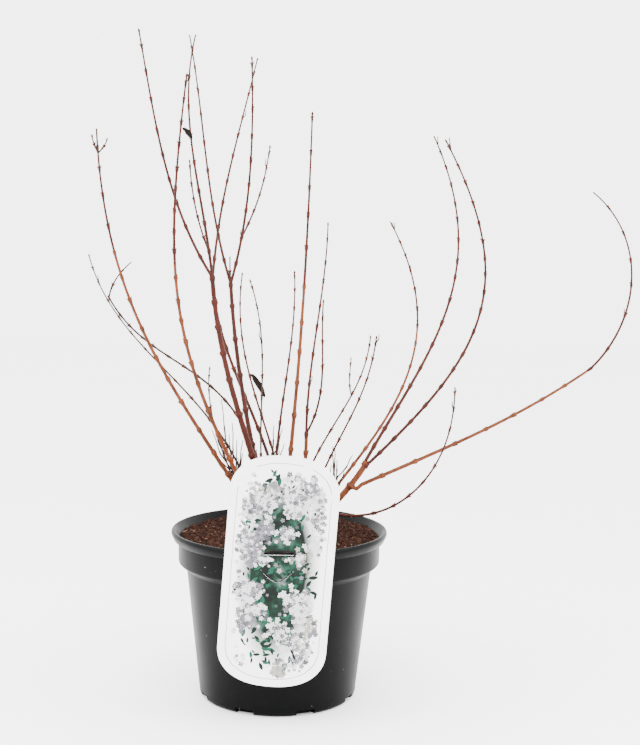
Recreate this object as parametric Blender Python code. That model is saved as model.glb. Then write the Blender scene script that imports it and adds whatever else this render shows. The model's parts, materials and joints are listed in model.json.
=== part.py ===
"""A bare deutzia in a round plastic nursery pot, with a picture label on the pot's lip.

The plant is a clump of canes on one low woody crown. Each cane is one tapering limb with a flat
cut at its foot. Its upper part, where it forks and carries buds, is a mass of twigs of its own.
Sizes are in millimetres and angles in degrees, and are turned into metres as shapes are made.
X runs to the right, Y away from the viewer and Z up, from the middle of the pot's underside.
"""

import math
import random
from dataclasses import dataclass

import bmesh
import bpy
from mathutils import Matrix, Vector, noise

MM = 0.001
GAP = 0.3

# The pot
POT_SEGMENTS = 40
POT_HEIGHT = 132.0
POT_WALL = 1.4
POT_FLOOR = 2.2
BASE_RADIUS = 62.0
BASE_FILLET = 4.0
BODY_TOP_RADIUS = 72.8
BODY_TOP_Z = 101.5
BAND_RADIUS = 79.2
BAND_BOTTOM_Z = 106.0
BAND_TOP_Z = 123.6
LIP_RADIUS = 85.0
LIP_WIDEST_Z = 129.4
LIP_INNER_RADIUS = 82.2
DRAIN_COUNT = 8
DRAIN_WIDTH = 15.0
DRAIN_HEIGHT = 4.5
DRAIN_REACH = 7.0

# The compost and the woody crown that stands on it
COMPOST_MIDDLE_Z = 131.5
COMPOST_EDGE_Z = 126.5
COMPOST_ROUGHNESS = 1.6
COMPOST_RINGS = 6
COMPOST_SEGMENTS = 20
CROWN_CENTRE = (5.0, 4.0)
CROWN_RADII = (37.0, 25.0)
CROWN_HEIGHT = 5.2
CROWN_SEGMENTS = 26
FOOT_Z = COMPOST_MIDDLE_Z + GAP + CROWN_HEIGHT + GAP

# The label
LABEL_WIDTH = 79.6
LABEL_HEIGHT = 171.0
LABEL_THICKNESS = 0.8
LABEL_CENTRE = (2.0, 118.0)
LABEL_TILT = 4.0
LABEL_END_HEIGHT = 29.0
LABEL_END_POWER = 2.3
LABEL_END_STEPS = 9
SLOT_SIZE = (21.6, 2.8)
SLOT_CENTRE = (2.4, 131.9)
TAB_WIDTH = 24.0
TAB_DROP = 9.0
TAB_CUT = 0.9
TAB_TOP_Z = 120.0

# What repeats along every limb
NODE_SWELL = 1.5
NODE_RISE = 2.6
NODE_SHOULDER = 1.0
FIRST_NODE = 0.75
TIP_SHRINK = 0.62
SEAT = 2.0
STEM = 4.0
JOINT_GAP = 0.4
KNUCKLE = 1.55
BUD_LENGTH = 3.2
TIP_BUD = 2.4
SIDE_TWIG_CHANCE = 0.05
SIDE_TWIG_LENGTH = (4.0, 9.0)
SIDE_TWIG_RADIUS = 0.45
CLEARANCE = 0.5
SAMPLES = 60
STOUT = 3.0

BARK_ORANGE = (0.33, 0.115, 0.035)
BARK_RED = (0.20, 0.052, 0.024)
BARK_TWIG = (0.115, 0.058, 0.032)
BARK_DRY = (0.085, 0.045, 0.028)
CROWN_WOOD = (0.11, 0.058, 0.032)
POT_BLACK = (0.010, 0.011, 0.011)
PEAT = (0.050, 0.021, 0.012)
LABEL_WHITE = (0.86, 0.87, 0.86)
DEAD_LEAF = (0.020, 0.013, 0.008)


@dataclass
class Limb:
    """One stem, bough or shoot: a smooth bend from its foot to its tip.

    An aim is (heading, lean): the compass heading it makes for, from +X round by +Y, and how far
    it leans from the vertical. pull says how long each end keeps its aim, as a share of the chord.
    foot is a place in plan on the crown or, for a shoot, the name of the shoot it forks from, and
    at is the share of its parent's length at which it springs.
    """

    name: str
    tip: tuple
    out: tuple
    arrive: tuple
    thick: float
    thin: float
    foot: object = None
    at: float = 1.0
    side: tuple = (0.0, 0.0)
    pull: tuple = (0.35, 0.35)
    internode: float = 24.0
    nodes_at: tuple = ()
    twigs_from: float = 1.0
    forked_tip: bool = False
    colour: tuple = BARK_RED


# Canes that stand on the crown
CANES = [
    Limb("left_outer", (-130, -82, 434), (208, 33), (255, 6), 3.6, 1.2, foot=(-17, -2),
         pull=(0.40, 0.40), internode=27, twigs_from=0.74, colour=BARK_ORANGE),
    Limb("left_inner", (-64, -105, 470), (212, 30), (300, 17), 3.6, 1.2, foot=(-13, -10),
         pull=(0.45, 0.45), internode=22, twigs_from=0.62, colour=BARK_ORANGE),
    Limb("left_low", (-166, 85, 345), (160, 14), (145, 20), 2.0, 1.0, foot=(-18, 7),
         pull=(0.40, 0.35), internode=23, twigs_from=0.66, colour=BARK_TWIG),
    Limb("left_hooked", (-141, 45, 308), (150, 8), (167, 32), 2.1, 1.4, foot=(-9, 17),
         pull=(0.60, 0.35), internode=20, colour=BARK_TWIG),
    Limb("left_sprig", (-57, 12, 258), (190, 20), (330, 8), 1.6, 0.9, foot=(-25, 10),
         internode=16, colour=BARK_TWIG),
    Limb("tall_front", (-52, -28, 327), (205, 18), (240, 8), 5.0, 3.5, foot=(-5, -2),
         internode=34, colour=BARK_RED),
    Limb("tall_back", (-57, 34, 322), (150, 6), (124, 10), 2.8, 2.2, foot=(1, 12),
         internode=28, colour=BARK_RED),
    Limb("tall_middle", (-41, 14, 321), (170, 14), (145, 5), 4.2, 2.9, foot=(-9, 6),
         internode=36, colour=BARK_RED),
    Limb("slim_back", (-37, 95, 331), (140, 12), (75, 22), 2.2, 1.1, foot=(6, 21),
         pull=(0.35, 0.40), internode=24, twigs_from=0.68, colour=BARK_RED),
    Limb("slim_front", (-22, -62, 329), (190, 12), (236, 30), 1.7, 0.9, foot=(-8, -15),
         pull=(0.40, 0.35), internode=20, twigs_from=0.66, colour=BARK_TWIG),
    Limb("centre_front", (22, -72, 449), (315, 8), (275, 14), 3.6, 1.1, foot=(3, -9),
         internode=32, twigs_from=0.60, colour=BARK_ORANGE),
    Limb("centre_back", (7, 105, 333), (110, 12), (100, 20), 2.5, 1.1, foot=(-4, 22),
         internode=22, twigs_from=0.64, colour=BARK_RED),
    Limb("centre_right", (20, 15, 203), (40, 12), (90, 5), 3.2, 2.9, foot=(15, 9),
         internode=30, colour=BARK_ORANGE),
    Limb("short_front", (70, -90, 291), (320, 18), (280, 25), 1.9, 1.1, foot=(20, -7),
         pull=(0.40, 0.35), internode=24, twigs_from=0.72, colour=BARK_RED),
    Limb("short_back", (73, 95, 279), (45, 16), (75, 20), 2.0, 1.1, foot=(11, 18),
         pull=(0.40, 0.35), internode=22, twigs_from=0.62, colour=BARK_RED),
    Limb("right_inner", (88, 100, 376), (15, 37), (150, 32), 2.8, 1.1, foot=(25, 9),
         pull=(0.33, 0.50), internode=22, twigs_from=0.66, forked_tip=True,
         colour=BARK_ORANGE),
]

# A trunk with the boughs that spring from it
TRUNK = Limb("trunk_right", (67, -6, 185), (355, 43), (350, 30), 5.2, 4.4, foot=(29, -2),
             nodes_at=(0.24, 0.66), colour=BARK_ORANGE)
BOUGHS = [
    Limb("right_middle", (120, 60, 445), (15, 30), (152, 27), 2.9, 1.1,
         side=(-1.3, 1.6), pull=(0.35, 0.47), internode=20, twigs_from=0.66, forked_tip=True,
         colour=BARK_RED),
    Limb("right_outer", (114, -105, 428), (340, 45), (212, 36), 2.7, 1.1,
         side=(1.3, -1.6), pull=(0.45, 0.49), internode=20, twigs_from=0.66, forked_tip=True,
         colour=BARK_RED),
    Limb("far_right", (242, 10, 260), (5, 66), (5, 55), 3.2, 2.0,
         at=0.66, internode=32, colour=BARK_ORANGE),
    Limb("low_right", (127, -85, 255), (335, 98), (257, 10), 2.2, 1.0,
         at=0.24, pull=(0.30, 0.45), internode=22, twigs_from=0.70, colour=BARK_RED),
]

# Shoots that fork from the tip of a cane, fused there into one mass of twigs
SHOOTS = {
    "left_outer": [
        Limb("a", (-133, -84, 430), (200, 24), (235, 6), 1.1, 0.9, at=0.80, internode=8),
        Limb("b", (-123, -78, 428), (350, 42), (45, 8), 1.1, 0.9, at=0.80, internode=8),
    ],
    "left_hooked": [
        Limb("a", (-125, 52, 339), (34, 10), (16, 50), 1.5, 1.0, internode=14),
    ],
    "tall_front": [
        Limb("a", (-100, -85, 503), (213, 36), (240, 17), 2.4, 1.1, internode=25),
        Limb("b", (-69, 5, 514), (126, 12), (40, 16), 2.4, 1.1, internode=27),
        Limb("c", (-67, -55, 415), (231, 30), (267, 20), 1.5, 1.0, foot="b", at=0.10,
             internode=17),
    ],
    "tall_back": [
        Limb("a", (-27, 115, 513), (85, 20), (55, 20), 2.3, 1.1, internode=26),
    ],
    "tall_middle": [
        Limb("a", (-81, 75, 525), (139, 24), (125, 21), 2.2, 1.1, internode=27),
        Limb("b", (-23, -45, 491), (311, 24), (266, 17), 2.3, 1.1, internode=24),
        Limb("c", (-13, 55, 435), (50, 36), (80, 30), 1.6, 1.0, foot="b", at=0.22,
             internode=18),
        Limb("d", (-42, 15, 345), (200, 6), (90, 4), 1.5, 1.0, internode=12),
    ],
    "centre_right": [
        Limb("a", (35, 75, 374), (90, 16), (88, 16), 2.2, 1.1, internode=25),
        Limb("b", (32, -35, 314), (320, 35), (280, 20), 1.9, 1.1, internode=24),
    ],
    "short_back": [
        Limb("a", (56, 74, 262), (120, 30), (60, 4), 1.1, 0.8, at=0.12, internode=10),
    ],
    "far_right": [
        Limb("a", (245, 30, 400), (8, 46), (172, 52), 2.0, 1.1, pull=(0.42, 0.38), internode=28),
    ],
}


@dataclass
class Thicket:
    """A short dead stem on the crown, with dry twigs that fan out of it by a seeded rule."""

    name: str
    foot: tuple
    height: float
    heading: float
    lean: float
    spread: float
    count: int
    length: tuple
    seed: int


THICKETS = [
    Thicket("left", (-26, 1), 56, 185, 16, 100, 12, (20, 52), 11),
    Thicket("centre", (-2, 4), 54, 150, 6, 180, 8, (9, 26), 5),
    Thicket("right", (33, 5), 38, 0, 19, 110, 8, (12, 34), 3),
]


@dataclass
class Leaf:
    """A dead leaf caught on a limb, at a share of the limb's length."""

    name: str
    limb: str
    share: float
    heading: float
    lean: float
    length: float
    width: float


LEAVES = [
    Leaf("dead_leaf_low", "slim_back", 0.57, 345, 158, 20, 8),
    Leaf("dead_leaf_high", "left_inner", 0.895, 20, 150, 9, 6),
]
LEAF_ROWS = 5
LEAF_THICKNESS = 0.5

taken = []


# Materials and small helpers

def material(name, colour, roughness, metallic=0.0):
    """A plain shader with the part's colour."""
    made = bpy.data.materials.new(name)
    made.use_nodes = True
    shader = made.node_tree.nodes["Principled BSDF"]
    shader.inputs["Base Color"].default_value = (*colour, 1.0)
    shader.inputs["Roughness"].default_value = roughness
    shader.inputs["Metallic"].default_value = metallic
    return made


def object_from(name, bm, made, smooth_angle=None):
    """Turns a bmesh, in millimetres, into a linked object in metres."""
    bmesh.ops.recalc_face_normals(bm, faces=bm.faces)
    bmesh.ops.scale(bm, vec=(MM, MM, MM), verts=bm.verts)
    mesh = bpy.data.meshes.new(name)
    bm.to_mesh(mesh)
    bm.free()
    if smooth_angle is not None:
        mesh.shade_smooth()
        mesh.set_sharp_from_angle(angle=math.radians(smooth_angle))
    made_object = bpy.data.objects.new(name, mesh)
    made_object.data.materials.append(made)
    bpy.context.collection.objects.link(made_object)
    return made_object


def apply_modifiers(target):
    """Replaces an object's data by the mesh that its modifiers give."""
    graph = bpy.context.evaluated_depsgraph_get()
    baked = bpy.data.meshes.new_from_object(target.evaluated_get(graph))
    target.modifiers.clear()
    target.data = baked


def fuse(target, pieces):
    """One Boolean union of a piece with a collection of others, which are then removed."""
    group = bpy.data.collections.new(target.name + "_pieces")
    for piece in pieces:
        group.objects.link(piece)
    union = target.modifiers.new("fuse", "BOOLEAN")
    union.operation = "UNION"
    union.operand_type = "COLLECTION"
    union.collection = group
    union.solver = "EXACT"
    bpy.context.view_layer.update()
    apply_modifiers(target)
    for piece in pieces:
        bpy.data.objects.remove(piece)
    bpy.data.collections.remove(group)


def cut(target, cutter, name):
    """Takes a cutter's shape out of a piece, and keeps the cutter out of sight."""
    cutter.hide_render = True
    cutter.display_type = "WIRE"
    change = target.modifiers.new(name, "BOOLEAN")
    change.operation = "DIFFERENCE"
    change.object = cutter
    change.solver = "EXACT"


# The pot and what it holds

def pot_profile():
    """The pot's section as (radius, height) points, up the outside and down the inside."""
    fillet = []
    for step in range(4):
        turn = math.radians(90 * step / 3)
        fillet.append((BASE_RADIUS - BASE_FILLET * (1 - math.sin(turn)),
                       BASE_FILLET * (1 - math.cos(turn))))
    outside = fillet + [
        (BODY_TOP_RADIUS, BODY_TOP_Z),
        (BAND_RADIUS - 0.9, BAND_BOTTOM_Z),
        (BAND_RADIUS, BAND_BOTTOM_Z + 1.6),
        (BAND_RADIUS + 0.2, BAND_TOP_Z),
        (LIP_RADIUS - 2.5, BAND_TOP_Z + 0.3),
        (LIP_RADIUS, LIP_WIDEST_Z),
        (LIP_RADIUS - 0.6, POT_HEIGHT - 0.7),
        (LIP_RADIUS - 1.6, POT_HEIGHT),
    ]
    inside = [
        (LIP_INNER_RADIUS, POT_HEIGHT - 0.4),
        (BAND_RADIUS - POT_WALL, LIP_WIDEST_Z - 3.0),
        (BAND_RADIUS - POT_WALL, BAND_BOTTOM_Z + 1.2),
        (BODY_TOP_RADIUS - POT_WALL, BODY_TOP_Z - 0.6),
        (BASE_RADIUS - POT_WALL, BASE_FILLET),
        (BASE_RADIUS - BASE_FILLET + 0.4, POT_FLOOR),
    ]
    return outside, inside


def inner_radius(height):
    """The pot's inner radius at a height, read from its section."""
    section = sorted((z, radius) for radius, z in pot_profile()[1])
    for (low_z, low_r), (high_z, high_r) in zip(section, section[1:]):
        if low_z <= height <= high_z:
            return low_r + (high_r - low_r) * (height - low_z) / (high_z - low_z)
    return section[-1][1]


def lathe(sections, segments):
    """A closed turned shape from (radius, height) points, with a pole where the radius is 0."""
    bm = bmesh.new()
    rings = []
    for radius, z in sections:
        if radius == 0:
            rings.append([bm.verts.new((0, 0, z))])
            continue
        ring = []
        for step in range(segments):
            turn = 2 * math.pi * step / segments
            ring.append(bm.verts.new((radius * math.cos(turn), radius * math.sin(turn), z)))
        rings.append(ring)
    for low, high in zip(rings, rings[1:]):
        for step in range(segments):
            after = (step + 1) % segments
            corners = [low[step % len(low)], low[after % len(low)],
                       high[after % len(high)], high[step % len(high)]]
            bm.faces.new(list(dict.fromkeys(corners)))
    return bm


def make_pot():
    """The thin-walled pot with its band, rolled lip and drain notches round a flat underside."""
    outside, inside = pot_profile()
    bm = lathe([(0, 0)] + outside + inside + [(0, POT_FLOOR)], POT_SEGMENTS)
    pot = object_from("pot", bm, material("black_plastic", POT_BLACK, 0.32), 35)
    notches = bmesh.new()
    for number in range(DRAIN_COUNT):
        turn = Matrix.Rotation(2 * math.pi * (number + 0.5) / DRAIN_COUNT, 4, "Z")
        place = Matrix.Translation((BASE_RADIUS - DRAIN_REACH / 2 + 1.0, 0, 0))
        size = Matrix.Diagonal((DRAIN_REACH + 2.0, DRAIN_WIDTH, 2 * DRAIN_HEIGHT, 1))
        bmesh.ops.create_cube(notches, size=1.0, matrix=turn @ place @ size)
    cutter = object_from("drain_notches", notches, material("notch_guide", PEAT, 0.9))
    cut(pot, cutter, "drains")


def on_crown(x, y, margin=0.0):
    """Whether a place in plan lies on the woody crown."""
    across = (x - CROWN_CENTRE[0]) / (CROWN_RADII[0] + margin)
    along = (y - CROWN_CENTRE[1]) / (CROWN_RADII[1] + margin)
    return across ** 2 + along ** 2 < 1.0


def compost_height(x, y):
    """The mounded, crumbly top of the compost, level under the crown."""
    if on_crown(x, y, 12.0):
        return COMPOST_MIDDLE_Z
    edge = inner_radius(COMPOST_EDGE_Z)
    fall = (COMPOST_MIDDLE_Z - COMPOST_EDGE_Z) * (math.hypot(x, y) / edge) ** 4
    return COMPOST_MIDDLE_Z - fall + COMPOST_ROUGHNESS * noise.noise(Vector((x, y, 0)) / 9.0)


def make_compost():
    """The compost: it fills the pot clear of its walls, with a mounded top."""
    wall = [(radius - JOINT_GAP, z + GAP) for radius, z in pot_profile()[1][::-1]]
    wall = [place for place in wall if place[1] < COMPOST_EDGE_Z - 2.0]
    rim = inner_radius(COMPOST_EDGE_Z) - JOINT_GAP
    sections = [(0, POT_FLOOR + GAP)] + wall + [(rim, COMPOST_EDGE_Z)]
    for ring in range(COMPOST_RINGS, 0, -1):
        sections.append((rim * ring / (COMPOST_RINGS + 0.6), COMPOST_EDGE_Z + 2.0))
    bm = lathe(sections + [(0, COMPOST_MIDDLE_Z)], COMPOST_SEGMENTS)
    for vert in bm.verts:
        if vert.co.z > COMPOST_EDGE_Z + 1.0:
            vert.co.z = compost_height(vert.co.x, vert.co.y)
    object_from("compost", bm, material("peat", PEAT, 0.95), 60)


def make_crown():
    """The low, knobbly woody crown that all the canes stand on, flat above and below."""
    base = COMPOST_MIDDLE_Z + GAP
    bm = bmesh.new()
    rings = []
    for share, swell in ((0.0, 0.92), (0.4, 1.0), (1.0, 0.93)):
        ring = []
        for step in range(CROWN_SEGMENTS):
            turn = 2 * math.pi * step / CROWN_SEGMENTS
            lump = 1 + 0.08 * noise.noise(Vector((2 * math.cos(turn), 2 * math.sin(turn), share)))
            ring.append(bm.verts.new((
                CROWN_CENTRE[0] + CROWN_RADII[0] * swell * lump * math.cos(turn),
                CROWN_CENTRE[1] + CROWN_RADII[1] * swell * lump * math.sin(turn),
                base + CROWN_HEIGHT * share)))
        rings.append(ring)
    for low, high in zip(rings, rings[1:]):
        for step in range(CROWN_SEGMENTS):
            after = (step + 1) % CROWN_SEGMENTS
            bm.faces.new((low[step], low[after], high[after], high[step]))
    bm.faces.new(rings[0])
    bm.faces.new(rings[-1])
    object_from("crown", bm, material("crown_wood", CROWN_WOOD, 0.85), 50)


# The label

def label_outline(width, height):
    """Points round a tall plate whose ends are superellipses."""
    straight = height / 2 - LABEL_END_HEIGHT
    points = []
    for end in (1, -1):
        for step in range(2 * LABEL_END_STEPS + 1):
            turn = math.pi * step / (2 * LABEL_END_STEPS)
            across = abs(math.cos(turn)) ** (2 / LABEL_END_POWER) * math.copysign(1, math.cos(turn))
            along = abs(math.sin(turn)) ** (2 / LABEL_END_POWER)
            points.append((end * across * width / 2, end * (straight + along * LABEL_END_HEIGHT)))
    return points


def slab(points, front, thickness):
    """A flat outline in the XZ plane, pushed back along Y into a plate."""
    bm = bmesh.new()
    face = bm.faces.new([bm.verts.new((x, front, z)) for x, z in points])
    grown = bmesh.ops.extrude_face_region(bm, geom=[face])
    moved = [item for item in grown["geom"] if isinstance(item, bmesh.types.BMVert)]
    bmesh.ops.translate(bm, vec=(0, thickness, 0), verts=moved)
    return bm


def make_label():
    """The plastic label on the pot's lip, with the slot and the tab that grip the lip."""
    front = -(LIP_RADIUS + GAP + LABEL_THICKNESS)
    plate = slab(label_outline(LABEL_WIDTH, LABEL_HEIGHT), front, LABEL_THICKNESS)
    lean = Matrix.Translation((LABEL_CENTRE[0], 0, LABEL_CENTRE[1])) @ Matrix.Rotation(
        math.radians(LABEL_TILT), 4, "Y")
    bmesh.ops.transform(plate, matrix=lean, verts=plate.verts)
    label = object_from("label", plate, material("label_plastic", LABEL_WHITE, 0.4))

    half, tall = SLOT_SIZE[0] / 2, SLOT_SIZE[1] / 2
    slot = [(SLOT_CENTRE[0] + a * half, SLOT_CENTRE[1] + b * tall)
            for a, b in ((-1, -1), (1, -1), (1, 1), (-1, 1))]
    upper, lower = [], []
    for step in range(11):
        across = 2 * step / 10 - 1
        drop = TAB_DROP * (1 - abs(across) ** 1.6)
        x = SLOT_CENTRE[0] - 1.0 + across * TAB_WIDTH / 2
        upper.append((x, TAB_TOP_Z - drop))
        lower.append((x, TAB_TOP_Z - drop - TAB_CUT))
    for name, outline in (("slot", slot), ("tab_cut", upper + lower[::-1])):
        bm = slab(outline, front - 2.0, LABEL_THICKNESS + 4.0)
        cut(label, object_from(name, bm, material(name + "_guide", LABEL_WHITE, 0.5)), name)


# Limbs

def direction(aim):
    """A unit vector from a heading and a lean."""
    heading, lean = math.radians(aim[0]), math.radians(aim[1])
    return Vector((math.sin(lean) * math.cos(heading), math.sin(lean) * math.sin(heading),
                   math.cos(lean)))


class Bend:
    """A cubic bend that can be read by its share of length."""

    def __init__(self, limb, start):
        tip = Vector(limb.tip)
        chord = (tip - start).length
        first = start + direction(limb.out) * limb.pull[0] * chord
        second = tip - direction(limb.arrive) * limb.pull[1] * chord
        self.limb = limb
        self.points = []
        for step in range(SAMPLES + 1):
            t = step / SAMPLES
            self.points.append(start * (1 - t) ** 3 + first * 3 * t * (1 - t) ** 2
                               + second * 3 * t * t * (1 - t) + tip * t ** 3)
        self.lengths = [0.0]
        for a, b in zip(self.points, self.points[1:]):
            self.lengths.append(self.lengths[-1] + (b - a).length)
        self.length = self.lengths[-1]

    def point(self, share):
        """The place at a share of the whole length."""
        wanted = min(max(share, 0.0), 1.0) * self.length
        for index, (low, high) in enumerate(zip(self.lengths, self.lengths[1:])):
            if wanted <= high:
                part = (wanted - low) / (high - low)
                return self.points[index].lerp(self.points[index + 1], part)
        return self.points[-1].copy()

    def tangent(self, share):
        """The direction of growth at a share of the whole length."""
        return (self.point(share + 0.01) - self.point(share - 0.01)).normalized()

    def radius(self, share):
        """Half the thickness between nodes, which tapers steadily."""
        return (self.limb.thick + (self.limb.thin - self.limb.thick) * share) / 2

    def nodes(self, low=0.0, high=1.0):
        """The shares at which the nodes stand, closer together towards the tip."""
        if self.limb.nodes_at:
            return [share for share in self.limb.nodes_at if low < share < high]
        rule = random.Random(self.limb.name + str(self.limb.tip))
        clear = 4.0 / self.length
        places = []
        reached = self.limb.internode * FIRST_NODE
        while reached < self.length:
            share = reached / self.length
            if low + clear < share < high - clear:
                places.append(share)
            step = self.limb.internode * (1 + (TIP_SHRINK - 1) * share)
            reached += step * rule.uniform(0.8, 1.2)
        return places


def swollen_line(bend, low, high):
    """Places and radii along a bend: even wood, with a cup-shaped swelling at each node."""
    marks = [(low, 1.0), (high, 1.0)]
    for share in bend.nodes(low, high):
        marks.append((share - NODE_RISE / bend.length, 1.0))
        marks.append((share, NODE_SWELL))
        marks.append((share + NODE_SHOULDER / bend.length, 1.02))
    marks.sort()
    return [(bend.point(share), bend.radius(share) * swell) for share, swell in marks]


def twig_line(bend, low, high):
    """The same for a twig, which swells at each node and thins again up to the next."""
    marks = [(low, 1.0), (high, 1.0)]
    for share in bend.nodes(low, high):
        marks.append((share - NODE_RISE * 0.8 / bend.length, 0.95))
        marks.append((share, NODE_SWELL))
    marks.sort()
    return [(bend.point(share), bend.radius(share) * swell) for share, swell in marks]


def weld_and_place(name, bm, made):
    """Closes a limb's seams and turns it into a linked mesh object."""
    bmesh.ops.remove_doubles(bm, verts=bm.verts, dist=0.01 * MM)
    bmesh.ops.recalc_face_normals(bm, faces=bm.faces)
    mesh = bpy.data.meshes.new(name)
    bm.to_mesh(mesh)
    bm.free()
    mesh.shade_smooth()
    mesh.set_sharp_from_angle(angle=math.radians(60))
    mesh.materials.append(made)
    solid = bpy.data.objects.new(name, mesh)
    bpy.context.collection.objects.link(solid)
    return solid


def tube(name, line, made):
    """A tapering round limb along (point, radius) pairs, closed at both ends."""
    curve = bpy.data.curves.new(name, "CURVE")
    curve.dimensions = "3D"
    curve.bevel_depth = MM
    curve.bevel_resolution = 1 if line[0][1] * 2 > STOUT else 0
    curve.use_fill_caps = True
    spline = curve.splines.new("POLY")
    spline.points.add(len(line) - 1)
    for target, (point, radius) in zip(spline.points, line):
        target.co = (*(point * MM), 1.0)
        target.radius = radius
    drawn = bpy.data.objects.new(name, curve)
    bpy.context.collection.objects.link(drawn)
    graph = bpy.context.evaluated_depsgraph_get()
    mesh = bpy.data.meshes.new_from_object(drawn.evaluated_get(graph))
    bm = bmesh.new()
    bm.from_mesh(mesh)
    bpy.data.objects.remove(drawn)
    bpy.data.meshes.remove(mesh)
    return weld_and_place(name, bm, made)


def note_space(line):
    """Remembers the space that a limb takes, so that later twigs keep out of it."""
    for (start, start_radius), (end, end_radius) in zip(line, line[1:]):
        count = max(1, int((end - start).length / 1.5))
        for step in range(count + 1):
            part = step / count
            radius = start_radius + (end_radius - start_radius) * part
            taken.append((start.lerp(end, part), radius))


def is_clear(line, own_space):
    """Whether a twig, beyond the space round its own root, keeps clear of everything noted."""
    root = line[0][0]
    for (low, low_radius), (high, high_radius) in zip(line, line[1:]):
        count = max(1, int((high - low).length))
        for step in range(count + 1):
            point = low.lerp(high, step / count)
            if (point - root).length < own_space:
                continue
            room = max(low_radius, high_radius) + CLEARANCE
            for other, radius in taken:
                if (other - point).length < room + radius:
                    return False
    return True


def with_tip_bud(line):
    """The same line with a pointed bud at its end."""
    end, radius = line[-1]
    along = (end - line[-2][0]).normalized()
    return line[:-1] + [(end - along * TIP_BUD, radius), (end - along * TIP_BUD * 0.55, radius * 1.35),
                        (end, radius * 0.3)]


def stand_on(start, seat, line):
    """Sets a limb's foot square on its seat, so that the flat cut faces it evenly."""
    radius = line[0][1]
    squared = [(start, radius), (start + seat * SEAT, radius)]
    return squared + [place for place in line if (place[0] - start).dot(seat) > SEAT * 1.6]


def side_twig(bend, share, across, rule):
    """A short twig that leaves a node sideways and turns up, or nothing where there's no room."""
    root = bend.point(share)
    along = bend.tangent(share)
    length = rule.uniform(*SIDE_TWIG_LENGTH)
    middle = root + (along * 1.2 + across).normalized() * length * 0.5
    end = middle + (along + Vector((0, 0, 0.6))).normalized() * length * 0.5
    line = [(root, SIDE_TWIG_RADIUS * 1.2), (middle, SIDE_TWIG_RADIUS), (end, SIDE_TWIG_RADIUS * 0.6)]
    if not is_clear(line, bend.radius(share) * NODE_SWELL + BUD_LENGTH):
        return None
    note_space(line)
    return line


def side_pieces(node, bend, low, rule, made):
    """Short twigs at some nodes, each pair of places a quarter turn from the last, and a fork."""
    pieces = []
    for number, share in enumerate(bend.nodes(low, 1.0)):
        along = bend.tangent(share)
        across = along.orthogonal().normalized()
        quarter = math.radians(90 * number + rule.uniform(-12, 12))
        across.rotate(Matrix.Rotation(quarter, 3, along))
        for side in (1, -1):
            if rule.random() < SIDE_TWIG_CHANCE:
                twig = side_twig(bend, share, across * side, rule)
                if twig:
                    pieces.append(tube(f"{node}_side", twig, made))
    if bend.limb.forked_tip:
        share = 1 - 9.0 / bend.length
        along = bend.tangent(share)
        root = bend.point(share)
        end = root + along * 7.5 + along.orthogonal().normalized() * 3.5
        fork = [(root, SIDE_TWIG_RADIUS), (end, SIDE_TWIG_RADIUS * 0.7)]
        note_space(fork)
        pieces.append(tube(f"{node}_fork", fork, made))
    return pieces


def make_mass(limb, bend, top, bark):
    """The twigs above a cane: its leader or a short stem, the shoots that fork there, side twigs.

    They stand clear of the cane's own tip and are fused into one closed body.
    """
    node = "twigs_" + limb.name
    rule = random.Random(node)
    end, before = top[-1][0], top[-2][0]
    along = (end - before).normalized()
    begin = end + along * JOINT_GAP
    radius = bend.radius(limb.twigs_from)
    first = [(begin, radius), (begin + along * STEM * 0.5, radius * 1.25)]
    pieces = []
    if limb.twigs_from < 1.0:
        later = twig_line(bend, limb.twigs_from, 1.0)[1:]
        first = [(begin, radius)] + [place for place in later if (place[0] - begin).length > 1.5]
        first = with_tip_bud(first)
        pieces += side_pieces(node, bend, limb.twigs_from, rule, bark)
    else:
        first.append((begin + along * STEM, radius * 0.8))
    note_space(first)
    body = tube(node, first, bark)
    grown = {}
    for shoot in SHOOTS.get(limb.name, []):
        if shoot.foot:
            root = grown[shoot.foot].point(shoot.at)
        elif limb.twigs_from < 1.0:
            root = bend.point(limb.twigs_from + (1 - limb.twigs_from) * shoot.at)
        else:
            root = begin + along * STEM * 0.5
        branch = Bend(shoot, root)
        grown[shoot.name] = branch
        line = with_tip_bud(twig_line(branch, 0.0, 1.0))
        note_space(line)
        pieces.append(tube(f"{node}_{shoot.name}", line, bark))
        pieces += side_pieces(node, branch, 0.0, rule, bark)
    fuse(body, pieces)


def grow(limb, start, seat, name):
    """Makes a cane or bough, and the mass of twigs at its top."""
    bend = Bend(limb, start)
    line = stand_on(start, seat, swollen_line(bend, 0.0, limb.twigs_from))
    masses = limb.twigs_from < 1.0 or limb.name in SHOOTS
    if not masses and limb is not TRUNK:
        line = with_tip_bud(line)
    if limb is TRUNK:
        end, radius = line[-1]
        line[-1:] = [(bend.point(0.9), radius), (end, radius * KNUCKLE)]
    tube(name, line, material("bark_" + limb.name, limb.colour, 0.6))
    note_space(line)
    if masses:
        colour = BARK_RED if limb.colour == BARK_ORANGE else limb.colour
        make_mass(limb, bend, line, material("bark_of_twigs_" + limb.name, colour, 0.6))
    return bend


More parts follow.
